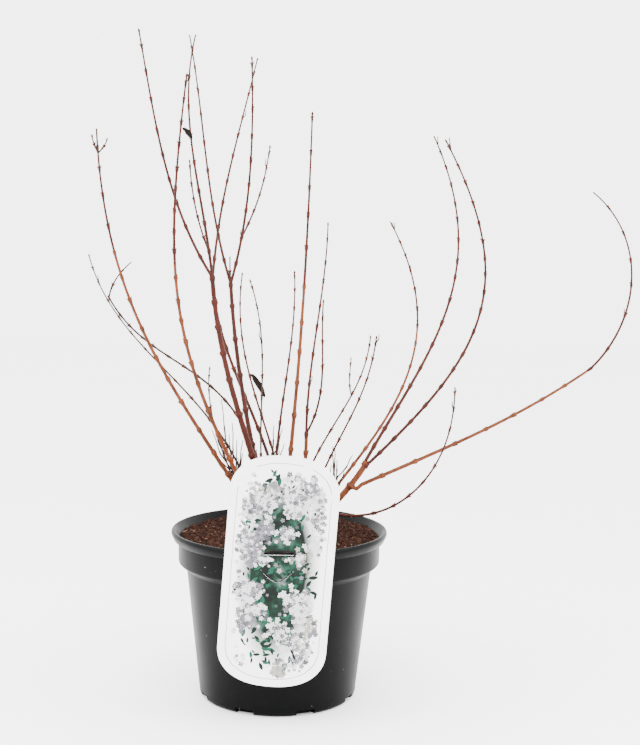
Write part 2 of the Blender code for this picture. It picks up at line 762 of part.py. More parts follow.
def make_thicket(thicket):
    """A dead stem with dry twigs fanning from it, kept clear of every cane."""
    rule = random.Random(thicket.seed)
    dry = material("dry_" + thicket.name, BARK_DRY, 0.8)
    foot = Vector((*thicket.foot, FOOT_Z))
    top = foot + direction((thicket.heading, thicket.lean)) * thicket.height
    stem = [(foot, 1.4), (foot + Vector((0, 0, SEAT)), 1.4), (top, 0.9)]
    note_space(stem)
    body = tube("thicket_" + thicket.name, stem, dry)
    pieces = []
    for attempt in range(40 * thicket.count):
        if len(pieces) == thicket.count:
            break
        root = foot.lerp(top, rule.uniform(0.45, 0.97))
        heading = thicket.heading + rule.uniform(-1, 1) * thicket.spread
        aim = direction((heading, rule.uniform(4, 48)))
        length = rule.uniform(*thicket.length)
        middle = root + aim * length * 0.5
        end = middle + (aim + Vector((0, 0, rule.uniform(0.1, 0.9)))).normalized() * length * 0.5
        twig = [(root, 0.62), (middle, 0.5), (end, 0.32)]
        if is_clear(twig, 4.5):
            pieces.append(tube(f"thicket_{thicket.name}_twig", twig, dry))
            note_space(twig)
    fuse(body, pieces)


def make_leaf(leaf, bends):
    """A dead leaf, curled along its length, hanging just clear of a limb."""
    bend = bends[leaf.limb]
    root = bend.point(leaf.share)
    outward = direction((leaf.heading, 90))
    clear = bend.radius(leaf.share) * NODE_SWELL + JOINT_GAP + LEAF_THICKNESS / 2
    root = root + outward * clear
    aim = direction((leaf.heading, leaf.lean))
    across = aim.cross(outward).normalized()
    hollow = across.cross(aim)
    bm = bmesh.new()
    rows = []
    for step in range(LEAF_ROWS + 1):
        part = step / LEAF_ROWS
        half = leaf.width / 2 * (0.16 + 0.84 * math.sin(math.pi * min(1.0, part * 0.92 + 0.06)) ** 0.8)
        spine = root + aim * leaf.length * part + outward * leaf.length * 0.22 * part * part
        row = []
        for side in (-1.0, -0.5, 0.0, 0.5, 1.0):
            roll = hollow * half * 0.9 * side * side
            row.append(bm.verts.new(spine + across * half * side + roll))
        rows.append(row)
    for low, high in zip(rows, rows[1:]):
        for step in range(4):
            bm.faces.new((low[step], low[step + 1], high[step + 1], high[step]))
    blade = object_from(leaf.name, bm, material("dead_leaf_" + leaf.name, DEAD_LEAF, 0.8), 40)
    thicken = blade.modifiers.new("thickness", "SOLIDIFY")
    thicken.thickness = LEAF_THICKNESS * MM
    thicken.offset = 0.0


def make_plant():
    """All the canes on the crown, the trunk on the right and what springs from it."""
    upright = Vector((0, 0, 1))
    bends = {}
    for cane in CANES:
        bends[cane.name] = grow(cane, Vector((*cane.foot, FOOT_Z)), upright, "cane_" + cane.name)
    trunk = grow(TRUNK, Vector((*TRUNK.foot, FOOT_Z)), upright, TRUNK.name)
    for bough in BOUGHS:
        along = trunk.tangent(bough.at)
        sideways = Vector((*bough.side, 0))
        seat = along
        start = trunk.point(1.0) + along * JOINT_GAP + sideways - along * sideways.dot(along)
        if bough.at < 1.0:
            seat = direction(bough.out)
            seat = (seat - along * seat.dot(along)).normalized()
            start = trunk.point(bough.at) + seat * (trunk.radius(bough.at) * NODE_SWELL + GAP)
        grow(bough, start, seat, "bough_" + bough.name)
    for thicket in THICKETS:
        make_thicket(thicket)
    for leaf in LEAVES:
        make_leaf(leaf, bends)


def main():
    """Clears the scene's objects and builds the whole part."""
    for old in list(bpy.data.objects):
        bpy.data.objects.remove(old)
    make_pot()
    make_compost()
    make_crown()
    make_label()
    make_plant()


main()
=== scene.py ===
"""Looks for a bare deutzia in a nursery pot: bark, buds, compost, pot, printed label and stage.

Sizes are in millimetres and angles in degrees, and are turned into metres as meshes are made.
X runs to the right, Y away from the viewer and Z up, from the middle of the pot's underside.
"""

import json
import math
import random
from dataclasses import dataclass

import bmesh
import bpy
from mathutils import Matrix, Vector, noise


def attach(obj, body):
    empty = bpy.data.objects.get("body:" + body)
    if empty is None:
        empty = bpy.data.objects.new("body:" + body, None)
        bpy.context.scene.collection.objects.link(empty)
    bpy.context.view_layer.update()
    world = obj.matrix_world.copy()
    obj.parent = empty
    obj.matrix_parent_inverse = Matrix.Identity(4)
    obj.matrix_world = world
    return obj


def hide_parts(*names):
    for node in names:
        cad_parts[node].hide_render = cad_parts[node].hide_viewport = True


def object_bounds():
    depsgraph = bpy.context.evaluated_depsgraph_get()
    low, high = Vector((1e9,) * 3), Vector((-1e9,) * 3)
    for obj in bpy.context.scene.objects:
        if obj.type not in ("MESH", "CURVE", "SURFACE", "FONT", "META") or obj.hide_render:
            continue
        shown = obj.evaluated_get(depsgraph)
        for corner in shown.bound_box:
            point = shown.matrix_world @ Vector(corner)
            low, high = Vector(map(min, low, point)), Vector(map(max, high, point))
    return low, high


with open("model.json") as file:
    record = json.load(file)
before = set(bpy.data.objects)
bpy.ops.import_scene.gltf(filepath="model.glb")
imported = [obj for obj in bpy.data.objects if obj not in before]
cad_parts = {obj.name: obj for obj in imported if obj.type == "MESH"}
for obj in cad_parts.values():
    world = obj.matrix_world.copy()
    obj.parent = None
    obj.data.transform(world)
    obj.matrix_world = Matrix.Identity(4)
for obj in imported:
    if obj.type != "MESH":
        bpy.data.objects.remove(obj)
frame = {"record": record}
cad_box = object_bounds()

bl_info = {
    "name": "Potted Deutzia Looks",
    "version": (1, 0, 0),
    "blender": (4, 5, 0),
    "location": "View3D > Sidebar > Deutzia",
    "description": "Dresses a bare potted shrub with bark, buds, compost and a printed label",
    "category": "Object",
}

MM = 0.001
BODY = "root"

# The pot
POT_SEGMENTS = 160
POT_HEIGHT = 132.0
POT_WALL = 1.4
POT_FLOOR = 2.2
BASE_RADIUS = 62.0
BASE_FILLET = 4.0
BODY_TOP_RADIUS = 72.8
BODY_TOP_Z = 101.5
BAND_RADIUS = 79.2
BAND_BOTTOM_Z = 106.0
BAND_TOP_Z = 123.6
LIP_RADIUS = 85.0
LIP_WIDEST_Z = 129.4
LIP_INNER_RADIUS = 82.2
DRAIN_COUNT = 8
DRAIN_WIDTH = 15.0
DRAIN_HEIGHT = 4.5
DRAIN_REACH = 7.0

# The compost and the woody crown
COMPOST_MIDDLE_Z = 131.5
COMPOST_EDGE_Z = 126.5
COMPOST_BOTTOM_Z = 104.0
COMPOST_ROUGHNESS = 1.6
COMPOST_SEGMENTS = 150
COMPOST_RINGS = 60
CROWN_CENTRE = (5.0, 4.0)
CROWN_RADII = (37.0, 25.0)
CROWN_HEIGHT = 5.2
CROWN_SEGMENTS = 120
CROWN_RINGS = 30
GAP = 0.3
FOOT_Z = COMPOST_MIDDLE_Z + GAP + CROWN_HEIGHT + GAP

# The label
LABEL_WIDTH = 79.6
LABEL_HEIGHT = 171.0
LABEL_THICKNESS = 0.8
LABEL_CENTRE = (2.0, 118.0)
LABEL_TILT = 4.0
LABEL_END_HEIGHT = 29.0
LABEL_END_POWER = 2.3
LABEL_END_STEPS = 30
SLOT_SIZE = (21.6, 2.8)
SLOT_CENTRE = (2.4, 131.9)
TAB_WIDTH = 24.0
TAB_DROP = 9.0
TAB_CUT = 0.9
TAB_TOP_Z = 120.0
KEYLINE_INSET = 5.8
KEYLINE_WIDTH = 0.35
KEYLINE_END_HEIGHT = 25.0
PRINT_INSET = 9.0
PRINT_LIFT = 0.02
FIELD_TRIM = 14.0
FIELD_END_HEIGHT = 24.0
HEAD_COUNT = 70

# What repeats along every limb
NODE_SWELL = 1.5
NODE_RISE = 2.6
FIRST_NODE = 0.75
TIP_SHRINK = 0.62
SEAT = 2.0
STEM = 4.0
JOINT_GAP = 0.4
KNUCKLE = 1.55
STOUT = 3.0
DULL_TIP = 26.0
SPACE_STEP = 1.5
SIDE_TWIG_CHANCE = 0.05
SIDE_TWIG_LENGTH = (4.0, 9.0)
SIDE_TWIG_RADIUS = 0.45
CLEARANCE = 0.5
SAMPLES = 60
BARK_STEP = 1.6
FOOT_SINK = 2.6

# The camera and floor in metres, and each lamp's name, place, width and share of the power
CAMERA_PLACE = (0.0302, -1.0, 0.351)
CAMERA_DIP = 5.44
CAMERA_ROLL = 0.87
SENSOR_WIDTH = 36.0
FLOOR_REACH = 4.0
LAMPS_AIM = (0, 0, 0.2)
SOFTBOXES = (
    ("left_softbox", (-0.9, -0.5, 0.8), 0.7, 0.8),
    ("right_softbox", (0.95, -0.35, 0.7), 0.6, 0.6),
    ("top_softbox", (0.0, -0.9, 1.6), 1.0, 1.0),
)

BARK_ORANGE = "orange"
BARK_RED = "red"
BARK_TWIG = "dark"
TRUNK_NODE = "trunk_right"


@dataclass
class Limb:
    """One stem, bough or shoot: a smooth bend from its foot to its tip.

    An aim is (heading, lean): the compass heading it makes for, from +X round by +Y, and how far
    it leans from the vertical. pull says how long each end keeps its aim, as a share of the chord.
    foot is a place in plan on the crown or, for a shoot, the name of the shoot it forks from, and
    at is the share of its parent's length at which it springs.
    """

    name: str
    tip: tuple
    out: tuple
    arrive: tuple
    thick: float
    thin: float
    foot: object = None
    at: float = 1.0
    side: tuple = (0.0, 0.0)
    pull: tuple = (0.35, 0.35)
    internode: float = 24.0
    nodes_at: tuple = ()
    twigs_from: float = 1.0
    forked_tip: bool = False
    colour: str = BARK_RED


# Canes that stand on the crown
CANES = [
    Limb("left_outer", (-130, -82, 434), (208, 33), (255, 6), 3.6, 1.2, foot=(-17, -2),
         pull=(0.40, 0.40), internode=27, twigs_from=0.74, colour=BARK_ORANGE),
    Limb("left_inner", (-64, -105, 470), (212, 30), (300, 17), 3.6, 1.2, foot=(-13, -10),
         pull=(0.45, 0.45), internode=22, twigs_from=0.62, colour=BARK_ORANGE),
    Limb("left_low", (-166, 85, 345), (160, 14), (145, 20), 2.0, 1.0, foot=(-18, 7),
         pull=(0.40, 0.35), internode=23, twigs_from=0.66, colour=BARK_TWIG),
    Limb("left_hooked", (-141, 45, 308), (150, 8), (167, 32), 2.1, 1.4, foot=(-9, 17),
         pull=(0.60, 0.35), internode=20, colour=BARK_TWIG),
    Limb("left_sprig", (-57, 12, 258), (190, 20), (330, 8), 1.6, 0.9, foot=(-25, 10),
         internode=16, colour=BARK_TWIG),
    Limb("tall_front", (-52, -28, 327), (205, 18), (240, 8), 5.0, 3.5, foot=(-5, -2),
         internode=34, colour=BARK_RED),
    Limb("tall_back", (-57, 34, 322), (150, 6), (124, 10), 2.8, 2.2, foot=(1, 12),
         internode=28, colour=BARK_RED),
    Limb("tall_middle", (-41, 14, 321), (170, 14), (145, 5), 4.2, 2.9, foot=(-9, 6),
         internode=36, colour=BARK_RED),
    Limb("slim_back", (-37, 95, 331), (140, 12), (75, 22), 2.2, 1.1, foot=(6, 21),
         pull=(0.35, 0.40), internode=24, twigs_from=0.68, colour=BARK_RED),
    Limb("slim_front", (-22, -62, 329), (190, 12), (236, 30), 1.7, 0.9, foot=(-8, -15),
         pull=(0.40, 0.35), internode=20, twigs_from=0.66, colour=BARK_TWIG),
    Limb("centre_front", (22, -72, 449), (315, 8), (275, 14), 3.6, 1.1, foot=(3, -9),
         internode=32, twigs_from=0.60, colour=BARK_ORANGE),
    Limb("centre_back", (7, 105, 333), (110, 12), (100, 20), 2.5, 1.1, foot=(-4, 22),
         internode=22, twigs_from=0.64, colour=BARK_RED),
    Limb("centre_right", (20, 15, 203), (40, 12), (90, 5), 3.2, 2.9, foot=(15, 9),
         internode=30, colour=BARK_ORANGE),
    Limb("short_front", (70, -90, 291), (320, 18), (280, 25), 1.9, 1.1, foot=(20, -7),
         pull=(0.40, 0.35), internode=24, twigs_from=0.72, colour=BARK_RED),
    Limb("short_back", (73, 95, 279), (45, 16), (75, 20), 2.0, 1.1, foot=(11, 18),
         pull=(0.40, 0.35), internode=22, twigs_from=0.62, colour=BARK_RED),
    Limb("right_inner", (88, 100, 376), (15, 37), (150, 32), 2.8, 1.1, foot=(25, 9),
         pull=(0.33, 0.50), internode=22, twigs_from=0.66, forked_tip=True,
         colour=BARK_ORANGE),
]

# A trunk with the boughs that spring from it
TRUNK = Limb("trunk_right", (67, -6, 185), (355, 43), (350, 30), 5.2, 4.4, foot=(29, -2),
             nodes_at=(0.24, 0.66), colour=BARK_ORANGE)
BOUGHS = [
    Limb("right_middle", (120, 60, 445), (15, 30), (152, 27), 2.9, 1.1,
         side=(-1.3, 1.6), pull=(0.35, 0.47), internode=20, twigs_from=0.66, forked_tip=True,
         colour=BARK_RED),
    Limb("right_outer", (114, -105, 428), (340, 45), (212, 36), 2.7, 1.1,
         side=(1.3, -1.6), pull=(0.45, 0.49), internode=20, twigs_from=0.66, forked_tip=True,
         colour=BARK_RED),
    Limb("far_right", (242, 10, 260), (5, 66), (5, 55), 3.2, 2.0,
         at=0.66, internode=32, colour=BARK_ORANGE),
    Limb("low_right", (127, -85, 255), (335, 98), (257, 10), 2.2, 1.0,
         at=0.24, pull=(0.30, 0.45), internode=22, twigs_from=0.70, colour=BARK_RED),
]

# Shoots that fork from the tip of a cane, fused there into one mass of twigs
SHOOTS = {
    "left_outer": [
        Limb("a", (-133, -84, 430), (200, 24), (235, 6), 1.1, 0.9, at=0.80, internode=8),
        Limb("b", (-123, -78, 428), (350, 42), (45, 8), 1.1, 0.9, at=0.80, internode=8),
    ],
    "left_hooked": [
        Limb("a", (-125, 52, 339), (34, 10), (16, 50), 1.5, 1.0, internode=14),
    ],
    "tall_front": [
        Limb("a", (-100, -85, 503), (213, 36), (240, 17), 2.4, 1.1, internode=25),
        Limb("b", (-69, 5, 514), (126, 12), (40, 16), 2.4, 1.1, internode=27),
        Limb("c", (-67, -55, 415), (231, 30), (267, 20), 1.5, 1.0, foot="b", at=0.10,
             internode=17),
    ],
    "tall_back": [
        Limb("a", (-27, 115, 513), (85, 20), (55, 20), 2.3, 1.1, internode=26),
    ],
    "tall_middle": [
        Limb("a", (-81, 75, 525), (139, 24), (125, 21), 2.2, 1.1, internode=27),
        Limb("b", (-23, -45, 491), (311, 24), (266, 17), 2.3, 1.1, internode=24),
        Limb("c", (-13, 55, 435), (50, 36), (80, 30), 1.6, 1.0, foot="b", at=0.22,
             internode=18),
        Limb("d", (-42, 15, 345), (200, 6), (90, 4), 1.5, 1.0, internode=12),
    ],
    "centre_right": [
        Limb("a", (35, 75, 374), (90, 16), (88, 16), 2.2, 1.1, internode=25),
        Limb("b", (32, -35, 314), (320, 35), (280, 20), 1.9, 1.1, internode=24),
    ],
    "short_back": [
        Limb("a", (56, 74, 262), (120, 30), (60, 4), 1.1, 0.8, at=0.12, internode=10),
    ],
    "far_right": [
        Limb("a", (245, 30, 400), (8, 46), (172, 52), 2.0, 1.1, pull=(0.42, 0.38), internode=28),
    ],
}


@dataclass
class Thicket:
    """A short dead stem on the crown, with dry twigs that fan out of it by a seeded rule."""

    name: str
    foot: tuple
    height: float
    heading: float
    lean: float
    spread: float
    count: int
    length: tuple
    seed: int


THICKETS = [
    Thicket("left", (-26, 1), 56, 185, 16, 100, 12, (20, 52), 11),
    Thicket("centre", (-2, 4), 54, 150, 6, 180, 8, (9, 26), 5),
    Thicket("right", (33, 5), 38, 0, 19, 110, 8, (12, 34), 3),
]


@dataclass
class Leaf:
    """A dead leaf caught on a limb, at a share of the limb's length."""

    name: str
    limb: str
    share: float
    heading: float
    lean: float
    length: float
    width: float


LEAVES = [
    Leaf("dead_leaf_low", "slim_back", 0.57, 345, 158, 20, 8),
    Leaf("dead_leaf_high", "left_inner", 0.895, 20, 150, 9, 6),
]
LEAF_ROWS = 12
LEAF_THICKNESS = 0.35


def direction(aim):
    """A unit vector from a heading and a lean."""
    heading, lean = math.radians(aim[0]), math.radians(aim[1])
    return Vector((math.sin(lean) * math.cos(heading), math.sin(lean) * math.sin(heading),
                   math.cos(lean)))


class Bend:
    """A cubic bend that can be read by its share of length."""

    def __init__(self, limb, start):
        tip = Vector(limb.tip)
        chord = (tip - start).length
        first = start + direction(limb.out) * limb.pull[0] * chord
        second = tip - direction(limb.arrive) * limb.pull[1] * chord
        self.limb = limb
        self.points = []
        for step in range(SAMPLES + 1):
            t = step / SAMPLES
            self.points.append(start * (1 - t) ** 3 + first * 3 * t * (1 - t) ** 2
                               + second * 3 * t * t * (1 - t) + tip * t ** 3)
        self.lengths = [0.0]
        for a, b in zip(self.points, self.points[1:]):
            self.lengths.append(self.lengths[-1] + (b - a).length)
        self.length = self.lengths[-1]

    def point(self, share):
        """The place at a share of the whole length."""
        wanted = min(max(share, 0.0), 1.0) * self.length
        for index, (low, high) in enumerate(zip(self.lengths, self.lengths[1:])):
            if wanted <= high:
                part = (wanted - low) / (high - low)
                return self.points[index].lerp(self.points[index + 1], part)
        return self.points[-1].copy()

    def tangent(self, share):
        """The direction of growth at a share of the whole length."""
        return (self.point(share + 0.01) - self.point(share - 0.01)).normalized()

    def radius(self, share):
        """Half the thickness between nodes, which tapers steadily."""
        return (self.limb.thick + (self.limb.thin - self.limb.thick) * share) / 2

    def nodes(self, low=0.0, high=1.0):
        """The shares at which the nodes stand, closer together towards the tip."""
        if self.limb.nodes_at:
            return [share for share in self.limb.nodes_at if low < share < high]
        rule = random.Random(self.limb.name + str(self.limb.tip))
        clear = 4.0 / self.length
        places = []
        reached = self.limb.internode * FIRST_NODE
        while reached < self.length:
            share = reached / self.length
            if low + clear < share < high - clear:
                places.append(share)
            step = self.limb.internode * (1 + (TIP_SHRINK - 1) * share)
            reached += step * rule.uniform(0.8, 1.2)
        return places


# Meshes

class Shape:
    """Collects rings, strips and petals, in millimetres, for one joined mesh."""

    def __init__(self):
        self.points = []
        self.faces = []

    def ring(self, centre, across, up, radius, sides, relief=0.0):
        """Adds a ring of points round a centre and returns their numbers."""
        first = len(self.points)
        for step in range(sides):
            turn = 2 * math.pi * step / sides
            aim = across * math.cos(turn) + up * math.sin(turn)
            swell = 1.0
            if relief:
                place = centre * 0.35 + aim * 1.7
                swell += relief * noise.noise(Vector((place.x * 2.2, place.y * 2.2, place.z * 0.5)))
            self.points.append(centre + aim * radius * swell)
        return list(range(first, first + sides))

    def bridge(self, low, high):
        """Joins two rings of the same count."""
        count = len(low)
        for step in range(count):
            after = (step + 1) % count
            self.faces.append((low[step], low[after], high[after], high[step]))

    def tube(self, line, sides, relief=0.0):
        """A closed round limb along (point, radius) pairs."""
        along = (line[1][0] - line[0][0]).normalized()
        across = along.orthogonal().normalized()
        rings = []
        for index, (point, radius) in enumerate(line):
            before = line[max(0, index - 1)][0]
            after = line[min(len(line) - 1, index + 1)][0]
            along = (after - before).normalized()
            across = (across - along * across.dot(along)).normalized()
            rings.append(self.ring(point, across, along.cross(across), radius, sides, relief))
        for low, high in zip(rings, rings[1:]):
            self.bridge(low, high)
        self.faces.append(tuple(rings[0][::-1]))
        self.faces.append(tuple(rings[-1]))

    def lump(self, centre, size, stretch, turn):
        """A small eight-sided crumb."""
        first = len(self.points)
        axes = [turn @ Vector(axis) for axis in ((1, 0, 0), (0, 1, 0), (0, 0, 1))]
        for axis, scale in zip(axes, stretch):
            self.points.append(centre + axis * size * scale)
            self.points.append(centre - axis * size * scale)
        for a in (0, 1):
            for b in (2, 3):
                for c in (4, 5):
                    face = (first + a, first + b, first + c)
                    odd = (a + b + c) % 2
                    self.faces.append(face if odd == 0 else face[::-1])

    def flat(self, outline):
        """One flat outline."""
        first = len(self.points)
        self.points.extend(outline)
        self.faces.append(tuple(range(first, first + len(outline))))

    def build(self, name, surface, slot, nodes=(), smooth=40):
        """Makes the object, and says what it rides on, its finish and what it replaces."""
        for point in self.points:
            for axis in range(3):
                point[axis] = min(max(point[axis], cad_box[0][axis] / MM), cad_box[1][axis] / MM)
        mesh = bpy.data.meshes.new(name)
        mesh.from_pydata([point * MM for point in self.points], [], self.faces)
        mesh.update()
        if smooth:
            mesh.shade_smooth()
            mesh.set_sharp_from_angle(angle=math.radians(smooth))
        mesh.materials.append(surface)
        piece = bpy.data.objects.new(name, mesh)
        bpy.context.scene.collection.objects.link(piece)
        return declare(piece, nodes)


def declare(piece, nodes=()):
    """Says what a piece rides on and the solids it stands for."""
    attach(piece, BODY)
    if nodes:
        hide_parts(*nodes)
    return piece


def nodes_in(slot):
    """The solids that the record gives a slot."""
    return [entry["node"] for entry in frame["record"]["subparts"] if entry["material_slot"] == slot]


# Surfaces

def shader_of(name, roughness, specular=0.5):
    """A new material with its node tree and its shader."""
    made = bpy.data.materials.new(name)
    made.use_nodes = True
    shader = made.node_tree.nodes["Principled BSDF"]
    shader.inputs["Roughness"].default_value = roughness
    shader.inputs["Specular IOR Level"].default_value = specular
    return made, made.node_tree, shader


def noise_node(tree, scale, detail=6.0, stretch=(1, 1, 1)):
    """Noise that follows the object's own coordinates."""
    place = tree.nodes.new("ShaderNodeTexCoord")
    fit = tree.nodes.new("ShaderNodeMapping")
    fit.inputs["Scale"].default_value = stretch
    grain = tree.nodes.new("ShaderNodeTexNoise")
    grain.inputs["Scale"].default_value = scale
    grain.inputs["Detail"].default_value = detail
    tree.links.new(place.outputs["Object"], fit.inputs["Vector"])
    tree.links.new(fit.outputs["Vector"], grain.inputs["Vector"])
    return grain


def ramp_node(tree, source, stops):
    """Colours dealt out along a value."""
    ramp = tree.nodes.new("ShaderNodeValToRGB")
    ramp.color_ramp.elements[0].position = stops[0][0]
    ramp.color_ramp.elements[0].color = (*stops[0][1], 1)
    ramp.color_ramp.elements[1].position = stops[-1][0]
    ramp.color_ramp.elements[1].color = (*stops[-1][1], 1)
    for position, colour in stops[1:-1]:
        ramp.color_ramp.elements.new(position).color = (*colour, 1)
    tree.links.new(source, ramp.inputs["Fac"])
    return ramp


def add_bump(tree, shader, source, strength, depth):
    """Relief from a value."""
    bump = tree.nodes.new("ShaderNodeBump")
    bump.inputs["Strength"].default_value = strength
    bump.inputs["Distance"].default_value = depth
    tree.links.new(source, bump.inputs["Height"])
    tree.links.new(bump.outputs["Normal"], shader.inputs["Normal"])


def tint(colour, factor):
    """A lighter or darker version of a colour."""
    return tuple(min(1.0, part * factor) for part in colour[:3])


def bark_surface(name, colour, roughness):
    """Smooth thin bark: streaks along the stem, small pale specks and a slight shine."""
    made, tree, shader = shader_of(name, roughness, 0.10)
    streaks = noise_node(tree, 260, 8, (1, 1, 0.22))
    ramp = ramp_node(tree, streaks.outputs["Fac"], [
        (0.30, tint(colour, 0.5)), (0.50, colour), (0.64, tint(colour, 1.25)), (0.80, tint(colour, 1.6))])
    tree.links.new(ramp.outputs["Color"], shader.inputs["Base Color"])
    fine = noise_node(tree, 900, 4, (1, 1, 0.35))
    add_bump(tree, shader, fine.outputs["Fac"], 0.5, 0.0004)
    return made


def rough_surface(name, stops, scale, roughness, depth, strength=0.8, stretch=(1, 1, 1)):
    """An uneven natural surface, with its colours dealt out by noise."""
    made, tree, shader = shader_of(name, roughness, 0.08)
    grain = noise_node(tree, scale, 9, stretch)
    ramp = ramp_node(tree, grain.outputs["Fac"], stops)
    tree.links.new(ramp.outputs["Color"], shader.inputs["Base Color"])
    add_bump(tree, shader, grain.outputs["Fac"], strength, depth)
    return made


def pot_surface(colour):
    """Black moulded plastic with a soft shine, fine moulding marks and specks of dried water."""
    made, tree, shader = shader_of("black_plastic_looks", 0.34, 0.045)
    specks = noise_node(tree, 420, 2)
    ramp = ramp_node(tree, specks.outputs["Fac"], [
        (0.0, colour), (0.755, colour), (0.79, (0.16, 0.16, 0.15))])
    tree.links.new(ramp.outputs["Color"], shader.inputs["Base Color"])
    wear = noise_node(tree, 55, 7, (1, 1, 0.4))
    span = tree.nodes.new("ShaderNodeMapRange")
    span.inputs["To Min"].default_value = 0.26
    span.inputs["To Max"].default_value = 0.48
    tree.links.new(wear.outputs["Fac"], span.inputs["Value"])
    tree.links.new(span.outputs["Result"], shader.inputs["Roughness"])
    add_bump(tree, shader, noise_node(tree, 700, 3).outputs["Fac"], 0.12, 0.0003)
    return made


def plain_print(name, colour):
    """Printed ink: one colour with a slight unevenness."""
    made, tree, shader = shader_of(name, 0.42, 0.12)
    mottle = noise_node(tree, 500, 3)
    ramp = ramp_node(tree, mottle.outputs["Fac"], [(0.3, tint(colour, 0.86)), (0.7, tint(colour, 1.08))])
    tree.links.new(ramp.outputs["Color"], shader.inputs["Base Color"])
    return made


# The pot and what it holds

def pot_profile():
    """The pot's section as (radius, height) points, up the outside and down the inside."""
    fillet = []
    for step in range(7):
        turn = math.radians(90 * step / 6)
        fillet.append((BASE_RADIUS - BASE_FILLET * (1 - math.sin(turn)),
                       BASE_FILLET * (1 - math.cos(turn))))
    outside = fillet + [
        (BODY_TOP_RADIUS - 0.1, BODY_TOP_Z - 0.6),
        (BODY_TOP_RADIUS + 0.3, BODY_TOP_Z + 0.2),
        (BAND_RADIUS - 1.1, BAND_BOTTOM_Z - 0.3),
        (BAND_RADIUS - 0.3, BAND_BOTTOM_Z + 0.5),
        (BAND_RADIUS, BAND_BOTTOM_Z + 1.6),
        (BAND_RADIUS + 0.2, BAND_TOP_Z),
        (BAND_RADIUS + 0.6, BAND_TOP_Z + 0.2),
        (LIP_RADIUS - 2.9, BAND_TOP_Z + 0.2),
        (LIP_RADIUS - 2.2, BAND_TOP_Z + 0.7),
        (LIP_RADIUS - 0.2, LIP_WIDEST_Z - 0.8),
        (LIP_RADIUS, LIP_WIDEST_Z),
        (LIP_RADIUS - 0.15, POT_HEIGHT - 1.3),
        (LIP_RADIUS - 0.7, POT_HEIGHT - 0.4),
        (LIP_RADIUS - 1.5, POT_HEIGHT),
    ]
    inside = [
        (LIP_INNER_RADIUS + 0.5, POT_HEIGHT - 0.1),
        (LIP_INNER_RADIUS, POT_HEIGHT - 0.5),
        (BAND_RADIUS - POT_WALL, LIP_WIDEST_Z - 3.0),
        (BAND_RADIUS - POT_WALL, BAND_BOTTOM_Z + 1.2),
        (BODY_TOP_RADIUS - POT_WALL, BODY_TOP_Z - 0.6),
        (BASE_RADIUS - POT_WALL, BASE_FILLET),
        (BASE_RADIUS - BASE_FILLET + 0.4, POT_FLOOR),
    ]
    return outside, inside


def lathe(shape, sections, segments):
    """Adds a closed turned form from (radius, height) points that start and end on the axis."""
    axis = Vector((1, 0, 0)), Vector((0, 1, 0))
    rings = []
    for radius, z in sections[1:-1]:
        rings.append(shape.ring(Vector((0, 0, z)), axis[0], axis[1], radius, segments))
    for low, high in zip(rings, rings[1:]):
        shape.bridge(low, high)
    for ring, (_, z), flip in ((rings[0], sections[0], True), (rings[-1], sections[-1], False)):
        shape.points.append(Vector((0, 0, z)))
        pole = len(shape.points) - 1
        for step in range(segments):
            after = (step + 1) % segments
            face = (ring[step], ring[after], pole)
            shape.faces.append(face[::-1] if flip else face)
    return rings


def carve(piece, cutters):
    """Takes shapes out of a piece and removes them."""
    for cutter in cutters:
        change = piece.modifiers.new("cut", "BOOLEAN")
        change.operation = "DIFFERENCE"
        change.object = cutter
        change.solver = "EXACT"
    bpy.context.view_layer.update()
    graph = bpy.context.evaluated_depsgraph_get()
    carved = bpy.data.meshes.new_from_object(piece.evaluated_get(graph))
    piece.modifiers.clear()
    piece.data = carved
    for cutter in cutters:
        bpy.data.objects.remove(cutter)


def loose_object(name, bm):
    """An undeclared helper object from a bmesh in millimetres."""
    bmesh.ops.scale(bm, vec=(MM, MM, MM), verts=bm.verts)
    bmesh.ops.recalc_face_normals(bm, faces=bm.faces)
    mesh = bpy.data.meshes.new(name)
    bm.to_mesh(mesh)
    bm.free()
    helper = bpy.data.objects.new(name, mesh)
    bpy.context.scene.collection.objects.link(helper)
    return helper


def make_pot(settings):
    """The pot with its band, rolled lip and drain notches."""
    outside, inside = pot_profile()
    shape = Shape()
    lathe(shape, [(0, 0)] + outside + inside + [(0, POT_FLOOR)], POT_SEGMENTS)
    pot = shape.build("nursery_pot", pot_surface(tuple(settings.pot_colour)), "black_plastic",
                      ["pot"], 32)
    notches = bmesh.new()
    for number in range(DRAIN_COUNT):
        turn = Matrix.Rotation(2 * math.pi * (number + 0.5) / DRAIN_COUNT, 4, "Z")
        place = Matrix.Translation((BASE_RADIUS - DRAIN_REACH / 2 + 1.0, 0, 0))
        size = Matrix.Diagonal((DRAIN_REACH + 2.0, DRAIN_WIDTH, 2 * DRAIN_HEIGHT, 1))
        bmesh.ops.create_cube(notches, size=1.0, matrix=turn @ place @ size)
    carve(pot, [loose_object("drain_notches", notches)])
    pot.data.set_sharp_from_angle(angle=math.radians(32))


def compost_height(x, y):
    """The mounded top of the compost, with clods and crumbs on it."""
    edge = BAND_RADIUS - POT_WALL
    out = math.hypot(x, y) / edge
    flat = 1.0 - min(1.0, max(0.0, (((x - 5) / 49) ** 2 + ((y - 4) / 37) ** 2) ** 0.5 - 0.75) * 4)
    base = COMPOST_MIDDLE_Z - (COMPOST_MIDDLE_Z - COMPOST_EDGE_Z) * out ** 4
    clods = COMPOST_ROUGHNESS * noise.noise(Vector((x, y, 0)) / 9.0)
    crumbs = 1.3 * noise.noise(Vector((x, y, 3)) / 3.1) + 0.7 * noise.noise(Vector((x, y, 7)) / 1.3)
    return base + clods * (1 - flat) + crumbs * (0.35 + 0.65 * (1 - flat))


